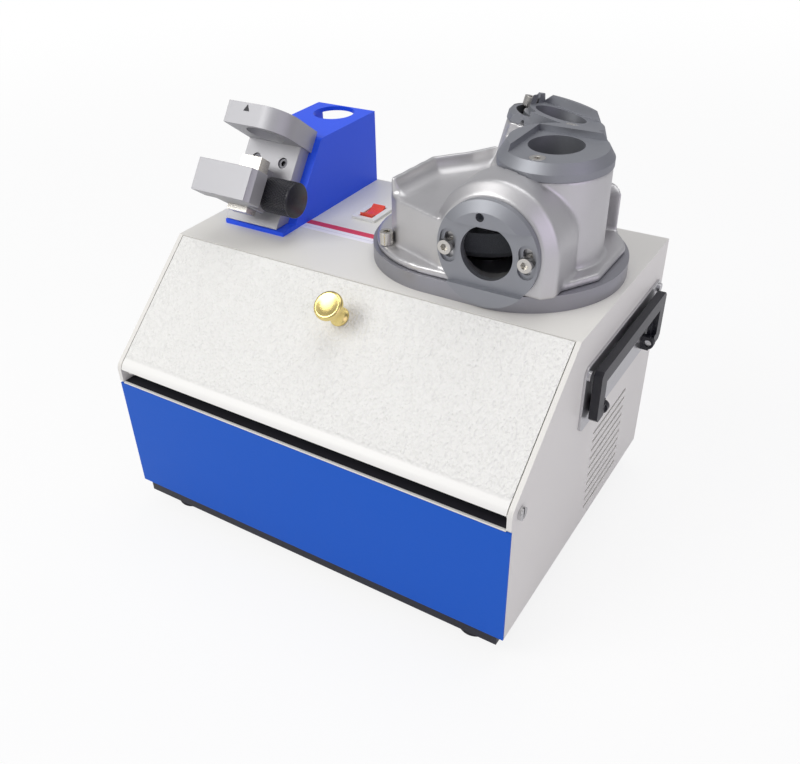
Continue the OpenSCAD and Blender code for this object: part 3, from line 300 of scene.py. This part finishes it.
class Graph(Tree):
    """The nodes of one material."""

    def __init__(self, name):
        old = bpy.data.materials.get(name)
        if old:
            bpy.data.materials.remove(old)
        self.material = bpy.data.materials.new(name)
        super().__init__(self.material)
        self.shader = self.tree.nodes["Principled BSDF"]

    def place(self, scale=(1, 1, 1), turn=(0, 0, 0)):
        """Object coordinates in millimetres, stretched and turned."""
        co = self.node("ShaderNodeTexCoord", output="Object")
        return self.node("ShaderNodeMapping", {}, {
            "Vector": co, "Rotation": turn, "Scale": tuple(1000 * s for s in scale)})

    def noise(self, scale, detail=2.0, at=None):
        """Noise of about 0 to 1 with a scale per millimetre."""
        return self.node("ShaderNodeTexNoise", {}, {
            "Vector": at or self.place(), "Scale": scale, "Detail": detail})

    def split(self, at, axis):
        """One of the three numbers of a vector."""
        return self.node("ShaderNodeSeparateXYZ", {}, {"Vector": at}, output=axis)

    def mix(self, factor, a, b):
        """A colour between two colours, which are the node's sockets 6 and 7."""
        return self.node("ShaderNodeMix", {"data_type": "RGBA"}, {0: factor, 6: a, 7: b}, output=2)

    def bump(self, height, distance, strength=1.0):
        """Leads a height of 0 to 1 into the shader's normal, at a distance in millimetres."""
        out = self.node("ShaderNodeBump", {}, {"Height": height, "Distance": distance * MM,
                                                "Strength": strength})
        self.tree.links.new(out.out, self.shader.inputs["Normal"])

    def set(self, **values):
        """Sets the shader's own sockets by their names, with _ for a space."""
        for key, value in values.items():
            socket = self.shader.inputs[key.replace("_", " ")]
            if isinstance(value, Value):
                self.tree.links.new(value.out, socket)
            else:
                socket.default_value = value
        return self.material


def shade(colour, factor):
    """A colour made lighter or darker."""
    return tuple(min(1.0, c * factor) for c in colour[:3]) + (1.0,)


def rgba(colour):
    """A property's colour with full cover."""
    return tuple(colour[:3]) + (1.0,)


# ---- finishes ----

def smooth_paint(name, colour, rough=0.38, peel=0.04, gloss=0.5):
    """Sprayed paint: nearly even, with a faint orange peel."""
    g = Graph(name)
    cloud = g.noise(scale=0.02, detail=3.0)
    g.bump(g.noise(scale=0.45, detail=1.0), peel)
    return g.set(Base_Color=g.mix(cloud, shade(colour, 0.985), shade(colour, 1.015)),
                 Roughness=cloud * 0.08 + (rough - 0.04), Specular_IOR_Level=gloss)


def sill_paint(name, colour, dark):
    """Paint on the sill under the cover, painted black past its front edge as painted shade in the
    slot there.
    """
    g = Graph(name)
    # painted shade: the part of the sill that lies in the slot under the cover is painted black
    behind = g.split(g.place(), 1).above(SLOT_SHADE_Y)
    cloud = g.noise(scale=0.05, detail=2.0)
    pale = g.mix(cloud, shade(colour, 0.985), shade(colour, 1.015))
    return g.set(Base_Color=g.mix(behind, pale, dark), Roughness=behind * 0.4 + 0.4)


def hammered_paint(name, colour):
    """Wrinkled white paint on the cover, fading to smooth near its front roll."""
    g = Graph(name)
    at = g.place((1.0, 0.8, 0.8))
    lumps = g.node("ShaderNodeTexVoronoi", {"feature": "SMOOTH_F1"},
                   {"Vector": at, "Scale": 0.62, "Smoothness": 0.6})
    fine = g.noise(scale=1.3, detail=3.0, at=at)
    wide = g.noise(scale=0.4, detail=2.0, at=at)
    grown = g.split(g.place(), 1).between(*TEXTURE_Y)
    g.bump((lumps * 0.9 + fine * 0.5 + wide * 0.7) * grown, distance=0.95)
    cloud = g.noise(scale=0.015, detail=2.0)
    return g.set(Base_Color=g.mix(cloud, shade(colour, 0.98), shade(colour, 1.01)),
                 Roughness=cloud * 0.1 + 0.36)


def blasted_metal(name, colour, rough=0.36, grain=0.05, scale=1.4, metallic=1.0):
    """Cast or blasted metal: a fine even grain and a slow change of gloss."""
    g = Graph(name)
    cloud = g.noise(scale=0.035, detail=3.0)
    speck = g.noise(scale=scale, detail=3.0)
    g.bump(speck, grain)
    tone = cloud * 0.7 + speck * 0.3
    return g.set(Base_Color=g.mix(tone, shade(colour, 0.9), shade(colour, 1.1)),
                 Metallic=metallic, Roughness=tone * 0.16 + (rough - 0.08))


def brushed_metal(name, colour, rough=0.26, along=0):
    """Drawn or ground steel with fine scratches along one axis."""
    g = Graph(name)
    stretch = [2.2, 2.2, 2.2]
    stretch[along] = 0.05
    lines = g.noise(scale=1.0, detail=2.0, at=g.place(tuple(stretch)))
    g.bump(lines, distance=0.02)
    return g.set(Base_Color=g.mix(lines, shade(colour, 0.93), shade(colour, 1.07)),
                 Metallic=1.0, Roughness=lines * 0.14 + (rough - 0.07))


def polished_brass(name, colour):
    """Turned and polished brass with a few handling marks."""
    g = Graph(name)
    marks = g.noise(scale=0.12, detail=4.0)
    return g.set(Base_Color=g.mix(marks, shade(colour, 0.92), shade(colour, 1.05)),
                 Metallic=1.0, Roughness=marks * 0.16 + 0.15)


def moulded(name, colour, rough=0.45, grain=0.03, scale=1.2):
    """Moulded plastic or rubber with a fine matt grain."""
    g = Graph(name)
    speck = g.noise(scale=scale, detail=2.0)
    g.bump(speck, grain)
    return g.set(Base_Color=g.mix(speck, shade(colour, 0.85), shade(colour, 1.15)),
                 Roughness=speck * 0.14 + (rough - 0.07))


def coarse_abrasive(name, colour):
    """Bonded grit: speckled, rough and matt."""
    g = Graph(name)
    grit = g.node("ShaderNodeTexVoronoi", {}, {"Vector": g.place(), "Scale": 2.2})
    g.bump(grit, distance=0.15)
    return g.set(Base_Color=g.mix(grit, shade(colour, 0.7), shade(colour, 1.35)),
                 Roughness=grit * 0.1 + 0.82)


def banded_label(name, band, ground):
    """A printed strip: a coloured band along its far edge, a thin line and a pale ground."""
    g = Graph(name)
    y = g.split(g.place(), 1)
    far = y.above(LABEL_BAND_Y)
    line = y.above(LABEL_LINE_Y[0]) * (1.0 - y.above(LABEL_LINE_Y[1]))
    cloud = g.noise(scale=0.05, detail=2.0)
    pale = g.mix(line * 0.5, ground, LABEL_LINE)
    return g.set(Base_Color=g.mix(far, pale, g.mix(cloud, shade(band, 0.93), shade(band, 1.05))),
                 Roughness=cloud * 0.1 + 0.3)


# ---- values that a user may change ----

def colour_prop(name, text, value):
    """A colour that a user may change."""
    return bpy.props.FloatVectorProperty(name=name, description=text, default=value, size=3,
                                         min=0.0, max=1.0, subtype="COLOR")


class SharpenerColours(bpy.types.PropertyGroup):
    """Colours of the painted and metal parts."""
    cream: colour_prop("Housing", "Paint of the housing's walls and top", (0.80, 0.79, 0.74))
    cover: colour_prop("Cover", "Textured paint of the cover", (0.89, 0.89, 0.85))
    blue: colour_prop("Front panel", "Paint of the front panel", (0.004, 0.10, 0.56))
    bracket: colour_prop("Gauge bracket", "Paint of the gauge's bracket", (0.02, 0.10, 0.92))
    black: colour_prop("Black parts", "Handles, knob, base and feet", (0.010, 0.010, 0.016))
    brass: colour_prop("Cover knob", "Brass of the cover's knob", (0.84, 0.68, 0.27))
    red: colour_prop("Rocker", "Plastic of the switch's rocker", (0.86, 0.085, 0.05))
    label: colour_prop("Label strip", "Printed band beside the switch", (0.74, 0.06, 0.09))
    white: colour_prop("Switch", "Plastic of the switch's bezel", (0.82, 0.82, 0.79))
    casting: colour_prop("Head casting", "Blasted aluminium of the head", (0.61, 0.605, 0.61))
    plate: colour_prop("Head plate", "Blasted aluminium under the head", (0.34, 0.34, 0.37))
    ring: colour_prop("Port rings", "Blasted aluminium of the rings", (0.315, 0.325, 0.35))
    gauge: colour_prop("Gauge", "Satin aluminium of the gauge", (0.46, 0.46, 0.475))
    steel: colour_prop("Steel", "Screws, pins and shafts", (0.60, 0.58, 0.54))


class SharpenerSizes(bpy.types.PropertyGroup):
    """Sizes of the fine pieces."""
    edge: bpy.props.FloatProperty(
        name="Edge radius", description="Rounding of machined and bent edges", default=0.0006,
        min=0.0001, max=0.002, subtype="DISTANCE", unit="LENGTH")
    casting_grain: bpy.props.FloatProperty(
        name="Casting grain", description="Spacing of the casting's skin, which sets its fillets",
        default=0.0011, min=0.0009, max=0.003, subtype="DISTANCE", unit="LENGTH")
    knurl_pitch: bpy.props.FloatProperty(
        name="Knurl pitch", description="Distance between the knurls of the clamp knob",
        default=0.0018, min=0.0008, max=0.003, subtype="DISTANCE", unit="LENGTH")
    knurl_depth: bpy.props.FloatProperty(
        name="Knurl depth", description="Depth of the knurls of the clamp knob",
        default=0.0007, min=0.0001, max=0.0008, subtype="DISTANCE", unit="LENGTH")


def colours():
    """The colours that the panel shows."""
    return bpy.context.scene.sharpener_colours


def sizes():
    """The sizes that the panel shows."""
    return bpy.context.scene.sharpener_sizes


# ---- work on the frame's own parts ----

def finish_nodes(material, names, edge=None, angle=EDGE_ANGLE, merge_flat=True):
    """Gives frame parts a finish and, with an edge radius, soft edges made by modifiers.

    merge_flat joins the triangles of each flat face before the edges are rounded. It is off for
    parts whose flat faces have holes or steps that the joined faces would be drawn across.
    """
    for name in names:
        obj = NODES[name]
        obj.data.materials.clear()
        obj.data.materials.append(material)
        if edge:
            weld(obj)
            if merge_flat:
                flat = obj.modifiers.new("flat", "DECIMATE")
                flat.decimate_type = "DISSOLVE"
                flat.angle_limit = FLAT_ANGLE
            bevel = obj.modifiers.new("bevel", "BEVEL")
            bevel.width = edge
            bevel.segments = EDGE_SEGMENTS
            bevel.limit_method = "ANGLE"
            bevel.angle_limit = math.radians(angle)
            bevel.use_clamp_overlap = True
            even = obj.modifiers.new("even", "WEIGHTED_NORMAL")
            even.weight = FACE_WEIGHT


def weld(obj):
    """Joins the corners that the frame's faces share."""
    joined = obj.modifiers.new("weld", "WELD")
    joined.merge_threshold = WELD_REACH


def soften(obj, grain):
    """Gives a casting its small fillets: an even grid of faces, then a few passes of smoothing."""
    weld(obj)
    skin = obj.modifiers.new("skin", "REMESH")
    skin.mode = "VOXEL"
    skin.voxel_size = grain
    skin.use_smooth_shade = True
    relax = obj.modifiers.new("relax", "SMOOTH")
    relax.factor = CAST_EASE
    relax.iterations = CAST_PASSES


# ---- building steps ----

class StepOperator:
    """What every building step shares."""
    bl_options = {"REGISTER", "UNDO"}


class SHARPENER_OT_housing(StepOperator, bpy.types.Operator):
    """Paint the sheet metal housing, its base and its feet"""
    bl_idname = "sharpener.housing"
    bl_label = "Housing"

    def execute(self, context):
        col, size = colours(), sizes()
        cream = smooth_paint("cream_paint", rgba(col.cream))
        black = rgba(col.black)
        finish_nodes(cream, ["housing_shell"], size.edge * SHEET_EDGE,
                     merge_flat=False)
        finish_nodes(cream, ["rear_panel"], size.edge * SHEET_EDGE)
        # the sill gets black as painted shade in the slot under the cover
        finish_nodes(sill_paint("sill_paint", rgba(col.cream), black),
                     ["front_rail"], size.edge * THIN_EDGE)
        finish_nodes(smooth_paint("blue_paint", rgba(col.blue), rough=0.5, gloss=0.25),
                     ["front_panel"], size.edge * PANEL_EDGE, merge_flat=False)
        finish_nodes(smooth_paint("seal_black", black, rough=0.7), ["top_rail"])
        finish_nodes(smooth_paint("black_base_paint", black, rough=0.4),
                     ["base_pan"], size.edge)
        finish_nodes(moulded("black_rubber", black, rough=0.6), ["rubber_feet"],
                     size.edge)
        zinc = brushed_metal("zinc_sheet", ZINC, rough=0.34)
        finish_nodes(zinc, ["tray_wall", "collet_tray", "catch_magnets"])
        return {"FINISHED"}


class SHARPENER_OT_cover(StepOperator, bpy.types.Operator):
    """Paint the swinging cover and turn its brass knob"""
    bl_idname = "sharpener.cover"
    bl_label = "Cover and knob"

    def execute(self, context):
        col, size = colours(), sizes()
        finish_nodes(hammered_paint("wrinkle_paint", rgba(col.cover)),
                     ["front_cover"], size.edge * PANEL_EDGE)
        r, h = COVER_KNOB_R, COVER_KNOB_H
        path = rounded([(POLE_R, 0)] + [(r * out, h * up) for out, up in COVER_KNOB_SHAPE]
                       + [(POLE_R, h * COVER_KNOB_CROWN)], COVER_KNOB_PASSES)
        local = frame_at(COVER_KNOB_AT, (1, 0, 0), (0, math.cos(SLOPE), math.sin(SLOPE)))
        knob = add_piece("brass_knob",
                         revolved("brass_knob", local, path, COVER_KNOB_FACES),
                         polished_brass("brass", rgba(col.brass)), "cover",
                         replaces=("cover_knob",))
        sharpen(knob, KNOB_CRISP)
        return {"FINISHED"}


class SHARPENER_OT_head(StepOperator, bpy.types.Operator):
    """Finish the casting of the head, its plate and the three port rings"""
    bl_idname = "sharpener.head"
    bl_label = "Grinding head"

    def execute(self, context):
        col, size = colours(), sizes()
        cast = blasted_metal("cast_aluminium", rgba(col.casting), rough=0.42, grain=0.07,
                             metallic=0.9)
        finish_nodes(cast, ["head_body"])
        soften(NODES["head_body"], size.casting_grain)
        plate = blasted_metal("plate_aluminium", rgba(col.plate), rough=0.42, grain=0.03,
                              scale=2.0, metallic=0.85)
        finish_nodes(plate, ["head_plate"], size.edge)
        ring = blasted_metal("ring_aluminium", rgba(col.ring), rough=0.5, grain=0.03,
                             scale=2.0, metallic=0.8)
        finish_nodes(ring, ["front_port_ring", "top_port_ring", "rear_port_ring"],
                     size.edge * RING_EDGE, angle=RING_ANGLE, merge_flat=False)
        return {"FINISHED"}


class SHARPENER_OT_gauge(StepOperator, bpy.types.Operator):
    """Finish the gauge, its bracket and its slider"""
    bl_idname = "sharpener.gauge"
    bl_label = "Setting gauge"

    def execute(self, context):
        col, size = colours(), sizes()
        finish_nodes(smooth_paint("bracket_paint", rgba(col.bracket), rough=0.4, gloss=0.35),
                     ["gauge_bracket"], size.edge * BRACKET_EDGE,
                     merge_flat=False)
        satin = blasted_metal("satin_aluminium", rgba(col.gauge), rough=0.52, grain=0.015,
                              scale=2.5, metallic=0.6)
        finish_nodes(satin, ["gauge_frame", "gauge_slider"], size.edge)
        finish_nodes(brushed_metal("rail_steel", rgba(col.steel)),
                     ["gauge_rail"], size.edge, merge_flat=False)
        face = frame_at(GAUGE_AT, (1, 0, 0), (0, math.cos(STAND), math.sin(STAND)))
        mark = prism("index_mark", face, INDEX_MARK, *INDEX_MARK_Z)
        add_piece("index_mark", mark, moulded("mark_ink", MARK_INK, rough=0.6),
                  "housing", smooth=False)
        return {"FINISHED"}


class SHARPENER_OT_clamp_knob(StepOperator, bpy.types.Operator):
    """Turn and knurl the clamp knob of the slider"""
    bl_idname = "sharpener.clamp_knob"
    bl_label = "Clamp knob"

    def execute(self, context):
        col, size = colours(), sizes()
        black = moulded("knurled_black", rgba(col.black), rough=0.3, grain=0.02, scale=1.6)
        ribs = round(2 * math.pi * GRIP_R * MM / size.knurl_pitch)
        depth = size.knurl_depth / MM

        def knurl(r, h, a):
            """Two crossed sets of leaning grooves along the grip, fading out at its ends.

            Each set's depth, as a share of the full one, is the square of one less the size of
            a sine. The sine is of half the rib count times the angle, plus or minus an amount
            that grows with the height. The deeper of the two sets is kept.
            """
            ends = (np.clip((h - GRIP_LOW - KNURL_FROM_LOW) / KNURL_FADE, 0, 1)
                    * np.clip((GRIP_HIGH - KNURL_FROM_HIGH - h) / KNURL_FADE, 0, 1))
            lean = h * math.pi / (KNURL_CLIMB * size.knurl_pitch / MM)
            cut = [(1 - np.abs(np.sin(ribs * a / 2 + way * lean))) ** 2 for way in (-1, 1)]
            return (r > GRIP_R - KNURL_SKIN) * ends * depth * np.maximum(*cut)

        stem = [(CLAMP_POLE_R, CLAMP_SCREW_TIP),
                (CLAMP_SCREW_R - STEM_CHAMFER, CLAMP_SCREW_TIP),
                (CLAMP_SCREW_R, CLAMP_SCREW_TIP + STEM_CHAMFER),
                (CLAMP_SCREW_R, COLLAR_LOW),
                (COLLAR_R - STEM_CHAMFER, COLLAR_LOW),
                (COLLAR_R, COLLAR_LOW + STEM_CHAMFER),
                (COLLAR_R, GRIP_LOW)]
        side = np.linspace(GRIP_LOW + GRIP_ROUND, GRIP_HIGH - GRIP_ROUND, GRIP_ROWS)
        rim, middle = GRIP_R - GRIP_ROUND, GRIP_ROUND_MIDDLE
        grip = ([(rim, GRIP_LOW), (GRIP_R - middle, GRIP_LOW + middle)]
                + [(GRIP_R, h) for h in side]
                + [(GRIP_R - middle, GRIP_HIGH - middle), (rim, GRIP_HIGH),
                   (CLAMP_POLE_R, GRIP_HIGH)])
        mesh = revolved("clamp_grip", frame_at(CLAMP_AT, (0, 0, -1), (0, 1, 0)),
                        np.array(stem + grip), ribs * FACES_PER_RIB, knurl)
        knob = add_piece("clamp_grip", mesh, black, "clamp_knob",
                         replaces=("clamp_knob",))
        sharpen(knob, GRIP_CRISP)
        return {"FINISHED"}


class SHARPENER_OT_handles(StepOperator, bpy.types.Operator):
    """Finish the folding handles and their plates"""
    bl_idname = "sharpener.handles"
    bl_label = "Handles"

    def execute(self, context):
        col, size = colours(), sizes()
        black = moulded("handle_black", rgba(col.black), rough=0.34)
        finish_nodes(black, ["handle_right", "handle_left"], size.edge)
        finish_nodes(smooth_paint("bracket_black", rgba(col.black), rough=0.4),
                     ["handle_brackets"], size.edge * THIN_EDGE)
        plate = brushed_metal("plate_steel", PLATE_STEEL, rough=0.3, along=1)
        finish_nodes(plate, ["handle_plates", "handle_pins"],
                     size.edge * THIN_EDGE)
        return {"FINISHED"}


class SHARPENER_OT_switch(StepOperator, bpy.types.Operator):
    """Finish the switch and the inlet"""
    bl_idname = "sharpener.switch"
    bl_label = "Switch and inlet"

    def execute(self, context):
        col, size = colours(), sizes()
        finish_nodes(moulded("white_plastic", rgba(col.white), rough=0.3, grain=0.01),
                     ["switch_body"], size.edge)
        finish_nodes(moulded("red_plastic", rgba(col.red), rough=0.25, grain=0.01),
                     ["rocker"], size.edge)
        finish_nodes(moulded("inlet_plastic", rgba(col.black), rough=0.4),
                     ["inlet_socket"])
        top = frame_at((0, 0, TOP_Z), (1, 0, 0), (0, 1, 0))
        (left, right), (near, far) = LABEL_X, LABEL_Y
        corners = [(left, near), (right, near), (right, far), (left, far)]
        add_piece("label_strip", prism("label_strip", top, corners, *LABEL_Z),
                  banded_label("label_print", rgba(col.label), LABEL_GROUND),
                  "housing", smooth=False)
        return {"FINISHED"}


class SHARPENER_OT_fasteners(StepOperator, bpy.types.Operator):
    """Finish the screws and pins"""
    bl_idname = "sharpener.fasteners"
    bl_label = "Screws and pins"

    def execute(self, context):
        col, size = colours(), sizes()
        plated = brushed_metal("plated_screws", rgba(col.steel), rough=0.24, along=2)
        finish_nodes(plated, [
            "foot_screws", "panel_screws", "knob_screw", "motor_bolts", "head_screws",
            "port_screws", "ring_screws"], size.edge * SCREW_EDGE)
        dark = brushed_metal("blackened_screws", BLACKENED, rough=0.36, along=2)
        finish_nodes(dark, ["bracket_screws", "gauge_frame_screws"],
                     size.edge * SCREW_EDGE)
        bright = brushed_metal("bright_pins", BRIGHT_PIN, rough=0.24)
        finish_nodes(bright, ["hinge_pins", "inlet_pins"])
        return {"FINISHED"}


class SHARPENER_OT_spindle(StepOperator, bpy.types.Operator):
    """Finish the motor, the spindle and the wheel"""
    bl_idname = "sharpener.spindle"
    bl_label = "Motor and wheel"

    def execute(self, context):
        col = colours()
        cast = blasted_metal("motor_cast", MOTOR_CAST, rough=0.45, grain=0.06)
        finish_nodes(cast, ["motor_case", "motor_top_cap", "motor_bottom_cap"])
        finish_nodes(moulded("varnished_windings", VARNISH, rough=0.35, grain=0.1),
                     ["stator"])
        ground = brushed_metal("ground_steel", GROUND_STEEL, rough=0.22, along=2)
        finish_nodes(ground, ["spindle_shaft", "wheel_hub", "wheel_nut"])
        finish_nodes(ground, ["bearings", "rotor"])
        finish_nodes(coarse_abrasive("bonded_grit", GRIT),
                     ["grinding_wheel"])
        finish_nodes(moulded("fan_black", rgba(col.black), rough=0.5),
                     ["cooling_fan"])
        return {"FINISHED"}


# ---- the stage ----

def pale_floor(name):
    """A pale floor whose camera view is mostly white light, so that only soft shadows are left."""
    g = Graph(name)
    cloud = g.noise(scale=0.003, detail=2.0)
    g.set(Base_Color=g.mix(cloud, *FLOOR_TONES), Roughness=0.9)
    white = g.node("ShaderNodeEmission", {}, {"Color": WHITE, "Strength": 1.0})
    away = g.node("ShaderNodeVectorMath", {"operation": "LENGTH"}, {0: g.place()}, output="Value")
    seen = g.node("ShaderNodeLightPath", output="Is Camera Ray") * away.between(*FLOOR_WHITE)
    lit = Value(g, g.shader.outputs[0])
    g.end(g.node("ShaderNodeMixShader", {}, {0: seen, 1: lit, 2: white}), "Material Output")
    return g.material


def studio_world(name):
    """A world whose light is dim, and which looks white to the camera and through glass."""
    world = bpy.data.worlds.new(name)
    g = Tree(world)
    dim = g.tree.nodes["Background"]
    dim.inputs["Color"].default_value = WORLD_TINT
    dim.inputs["Strength"].default_value = WORLD_STRENGTH
    white = g.node("ShaderNodeBackground", {}, {"Color": WHITE, "Strength": 1.0})
    direct = g.node("ShaderNodeLightPath", output="Is Camera Ray")
    through = Value(g, direct.out.node.outputs["Is Transmission Ray"])
    seen = direct.largest(through)
    lit = Value(g, dim.outputs[0])
    g.end(g.node("ShaderNodeMixShader", {}, {0: seen, 1: lit, 2: white}), "World Output")
    return world


def studio_lamp(name, at, width, power, tint):
    """A square lamp that faces the object."""
    data = bpy.data.lights.new(name, "AREA")
    data.energy = power
    data.size = width
    data.color = tint
    lamp = bpy.data.objects.new(name, data)
    lamp.location = at
    lamp.rotation_mode = "QUATERNION"
    aim = Vector(LAMP_AIM) - lamp.location
    lamp.rotation_quaternion = aim.to_track_quat("-Z", "Y")
    return lamp


def studio_camera(name):
    """The camera, whose matrix has its three directions and its place as columns."""
    data = bpy.data.cameras.new(name)
    data.sensor_width = SENSOR_MM
    data.lens = LENS_MM
    data.shift_x, data.shift_y = CAMERA_SHIFT
    data.clip_end = CAMERA_FAR
    cam = bpy.data.objects.new(name, data)
    columns = (CAMERA_RIGHT, CAMERA_UP, CAMERA_BACK, CAMERA_AT)
    cam.matrix_world = Matrix([[c[i] for c in columns] for i in range(3)] + [[0, 0, 0, 1]])
    return cam


class SHARPENER_OT_stage(StepOperator, bpy.types.Operator):
    """Set the floor, the lamps, the world and the camera"""
    bl_idname = "sharpener.stage"
    bl_label = "Floor, light and camera"

    def execute(self, context):
        scene = bpy.context.scene
        side = np.linspace(-FLOOR_HALF, FLOOR_HALF, FLOOR_POINTS)
        x, y = np.meshgrid(side, side, indexing="ij")
        floor = bpy.data.objects.new("floor", grid_mesh("floor", x, y, x * 0))
        floor.data.materials.append(pale_floor("pale_floor"))
        scene.collection.objects.link(floor)
        scene.world = studio_world("studio")
        for values in LAMPS:
            lamp = studio_lamp(*values)
            scene.collection.objects.link(lamp)
        scene.camera = studio_camera("camera")
        scene.collection.objects.link(scene.camera)
        scene.view_settings.view_transform = "Standard"
        return {"FINISHED"}


# ---- the panel, and the run ----

OPERATORS = (
    SHARPENER_OT_housing, SHARPENER_OT_cover, SHARPENER_OT_head, SHARPENER_OT_gauge,
    SHARPENER_OT_clamp_knob, SHARPENER_OT_handles, SHARPENER_OT_switch, SHARPENER_OT_fasteners,
    SHARPENER_OT_spindle, SHARPENER_OT_stage,
)


class SHARPENER_PT_panel(bpy.types.Panel):
    """Lists the building steps and the values they use"""
    bl_label = "End mill sharpener"
    bl_idname = "SHARPENER_PT_panel"
    bl_space_type = "VIEW_3D"
    bl_region_type = "UI"
    bl_category = "Sharpener"

    def draw(self, context):
        """Shows every colour and size, then a button for each step."""
        layout = self.layout
        for group in (context.scene.sharpener_colours, context.scene.sharpener_sizes):
            for key in group.bl_rna.properties.keys():
                if key not in ("rna_type", "name"):
                    layout.prop(group, key)
        for op in OPERATORS:
            layout.operator(op.bl_idname)


CLASSES = (SharpenerColours, SharpenerSizes) + OPERATORS + (SHARPENER_PT_panel,)


def register():
    """Adds the classes and the two groups of values to Blender."""
    for cls in CLASSES:
        bpy.utils.register_class(cls)
    bpy.types.Scene.sharpener_colours = bpy.props.PointerProperty(type=SharpenerColours)
    bpy.types.Scene.sharpener_sizes = bpy.props.PointerProperty(type=SharpenerSizes)


def unregister():
    """Takes out what register() added."""
    del bpy.types.Scene.sharpener_sizes
    del bpy.types.Scene.sharpener_colours
    for cls in reversed(CLASSES):
        bpy.utils.unregister_class(cls)


def main():
    """Builds everything in order."""
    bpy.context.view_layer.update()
    register()
    for op in OPERATORS:
        group, name = op.bl_idname.split(".")
        getattr(getattr(bpy.ops, group), name)()


if __name__ == "__main__":
    main()
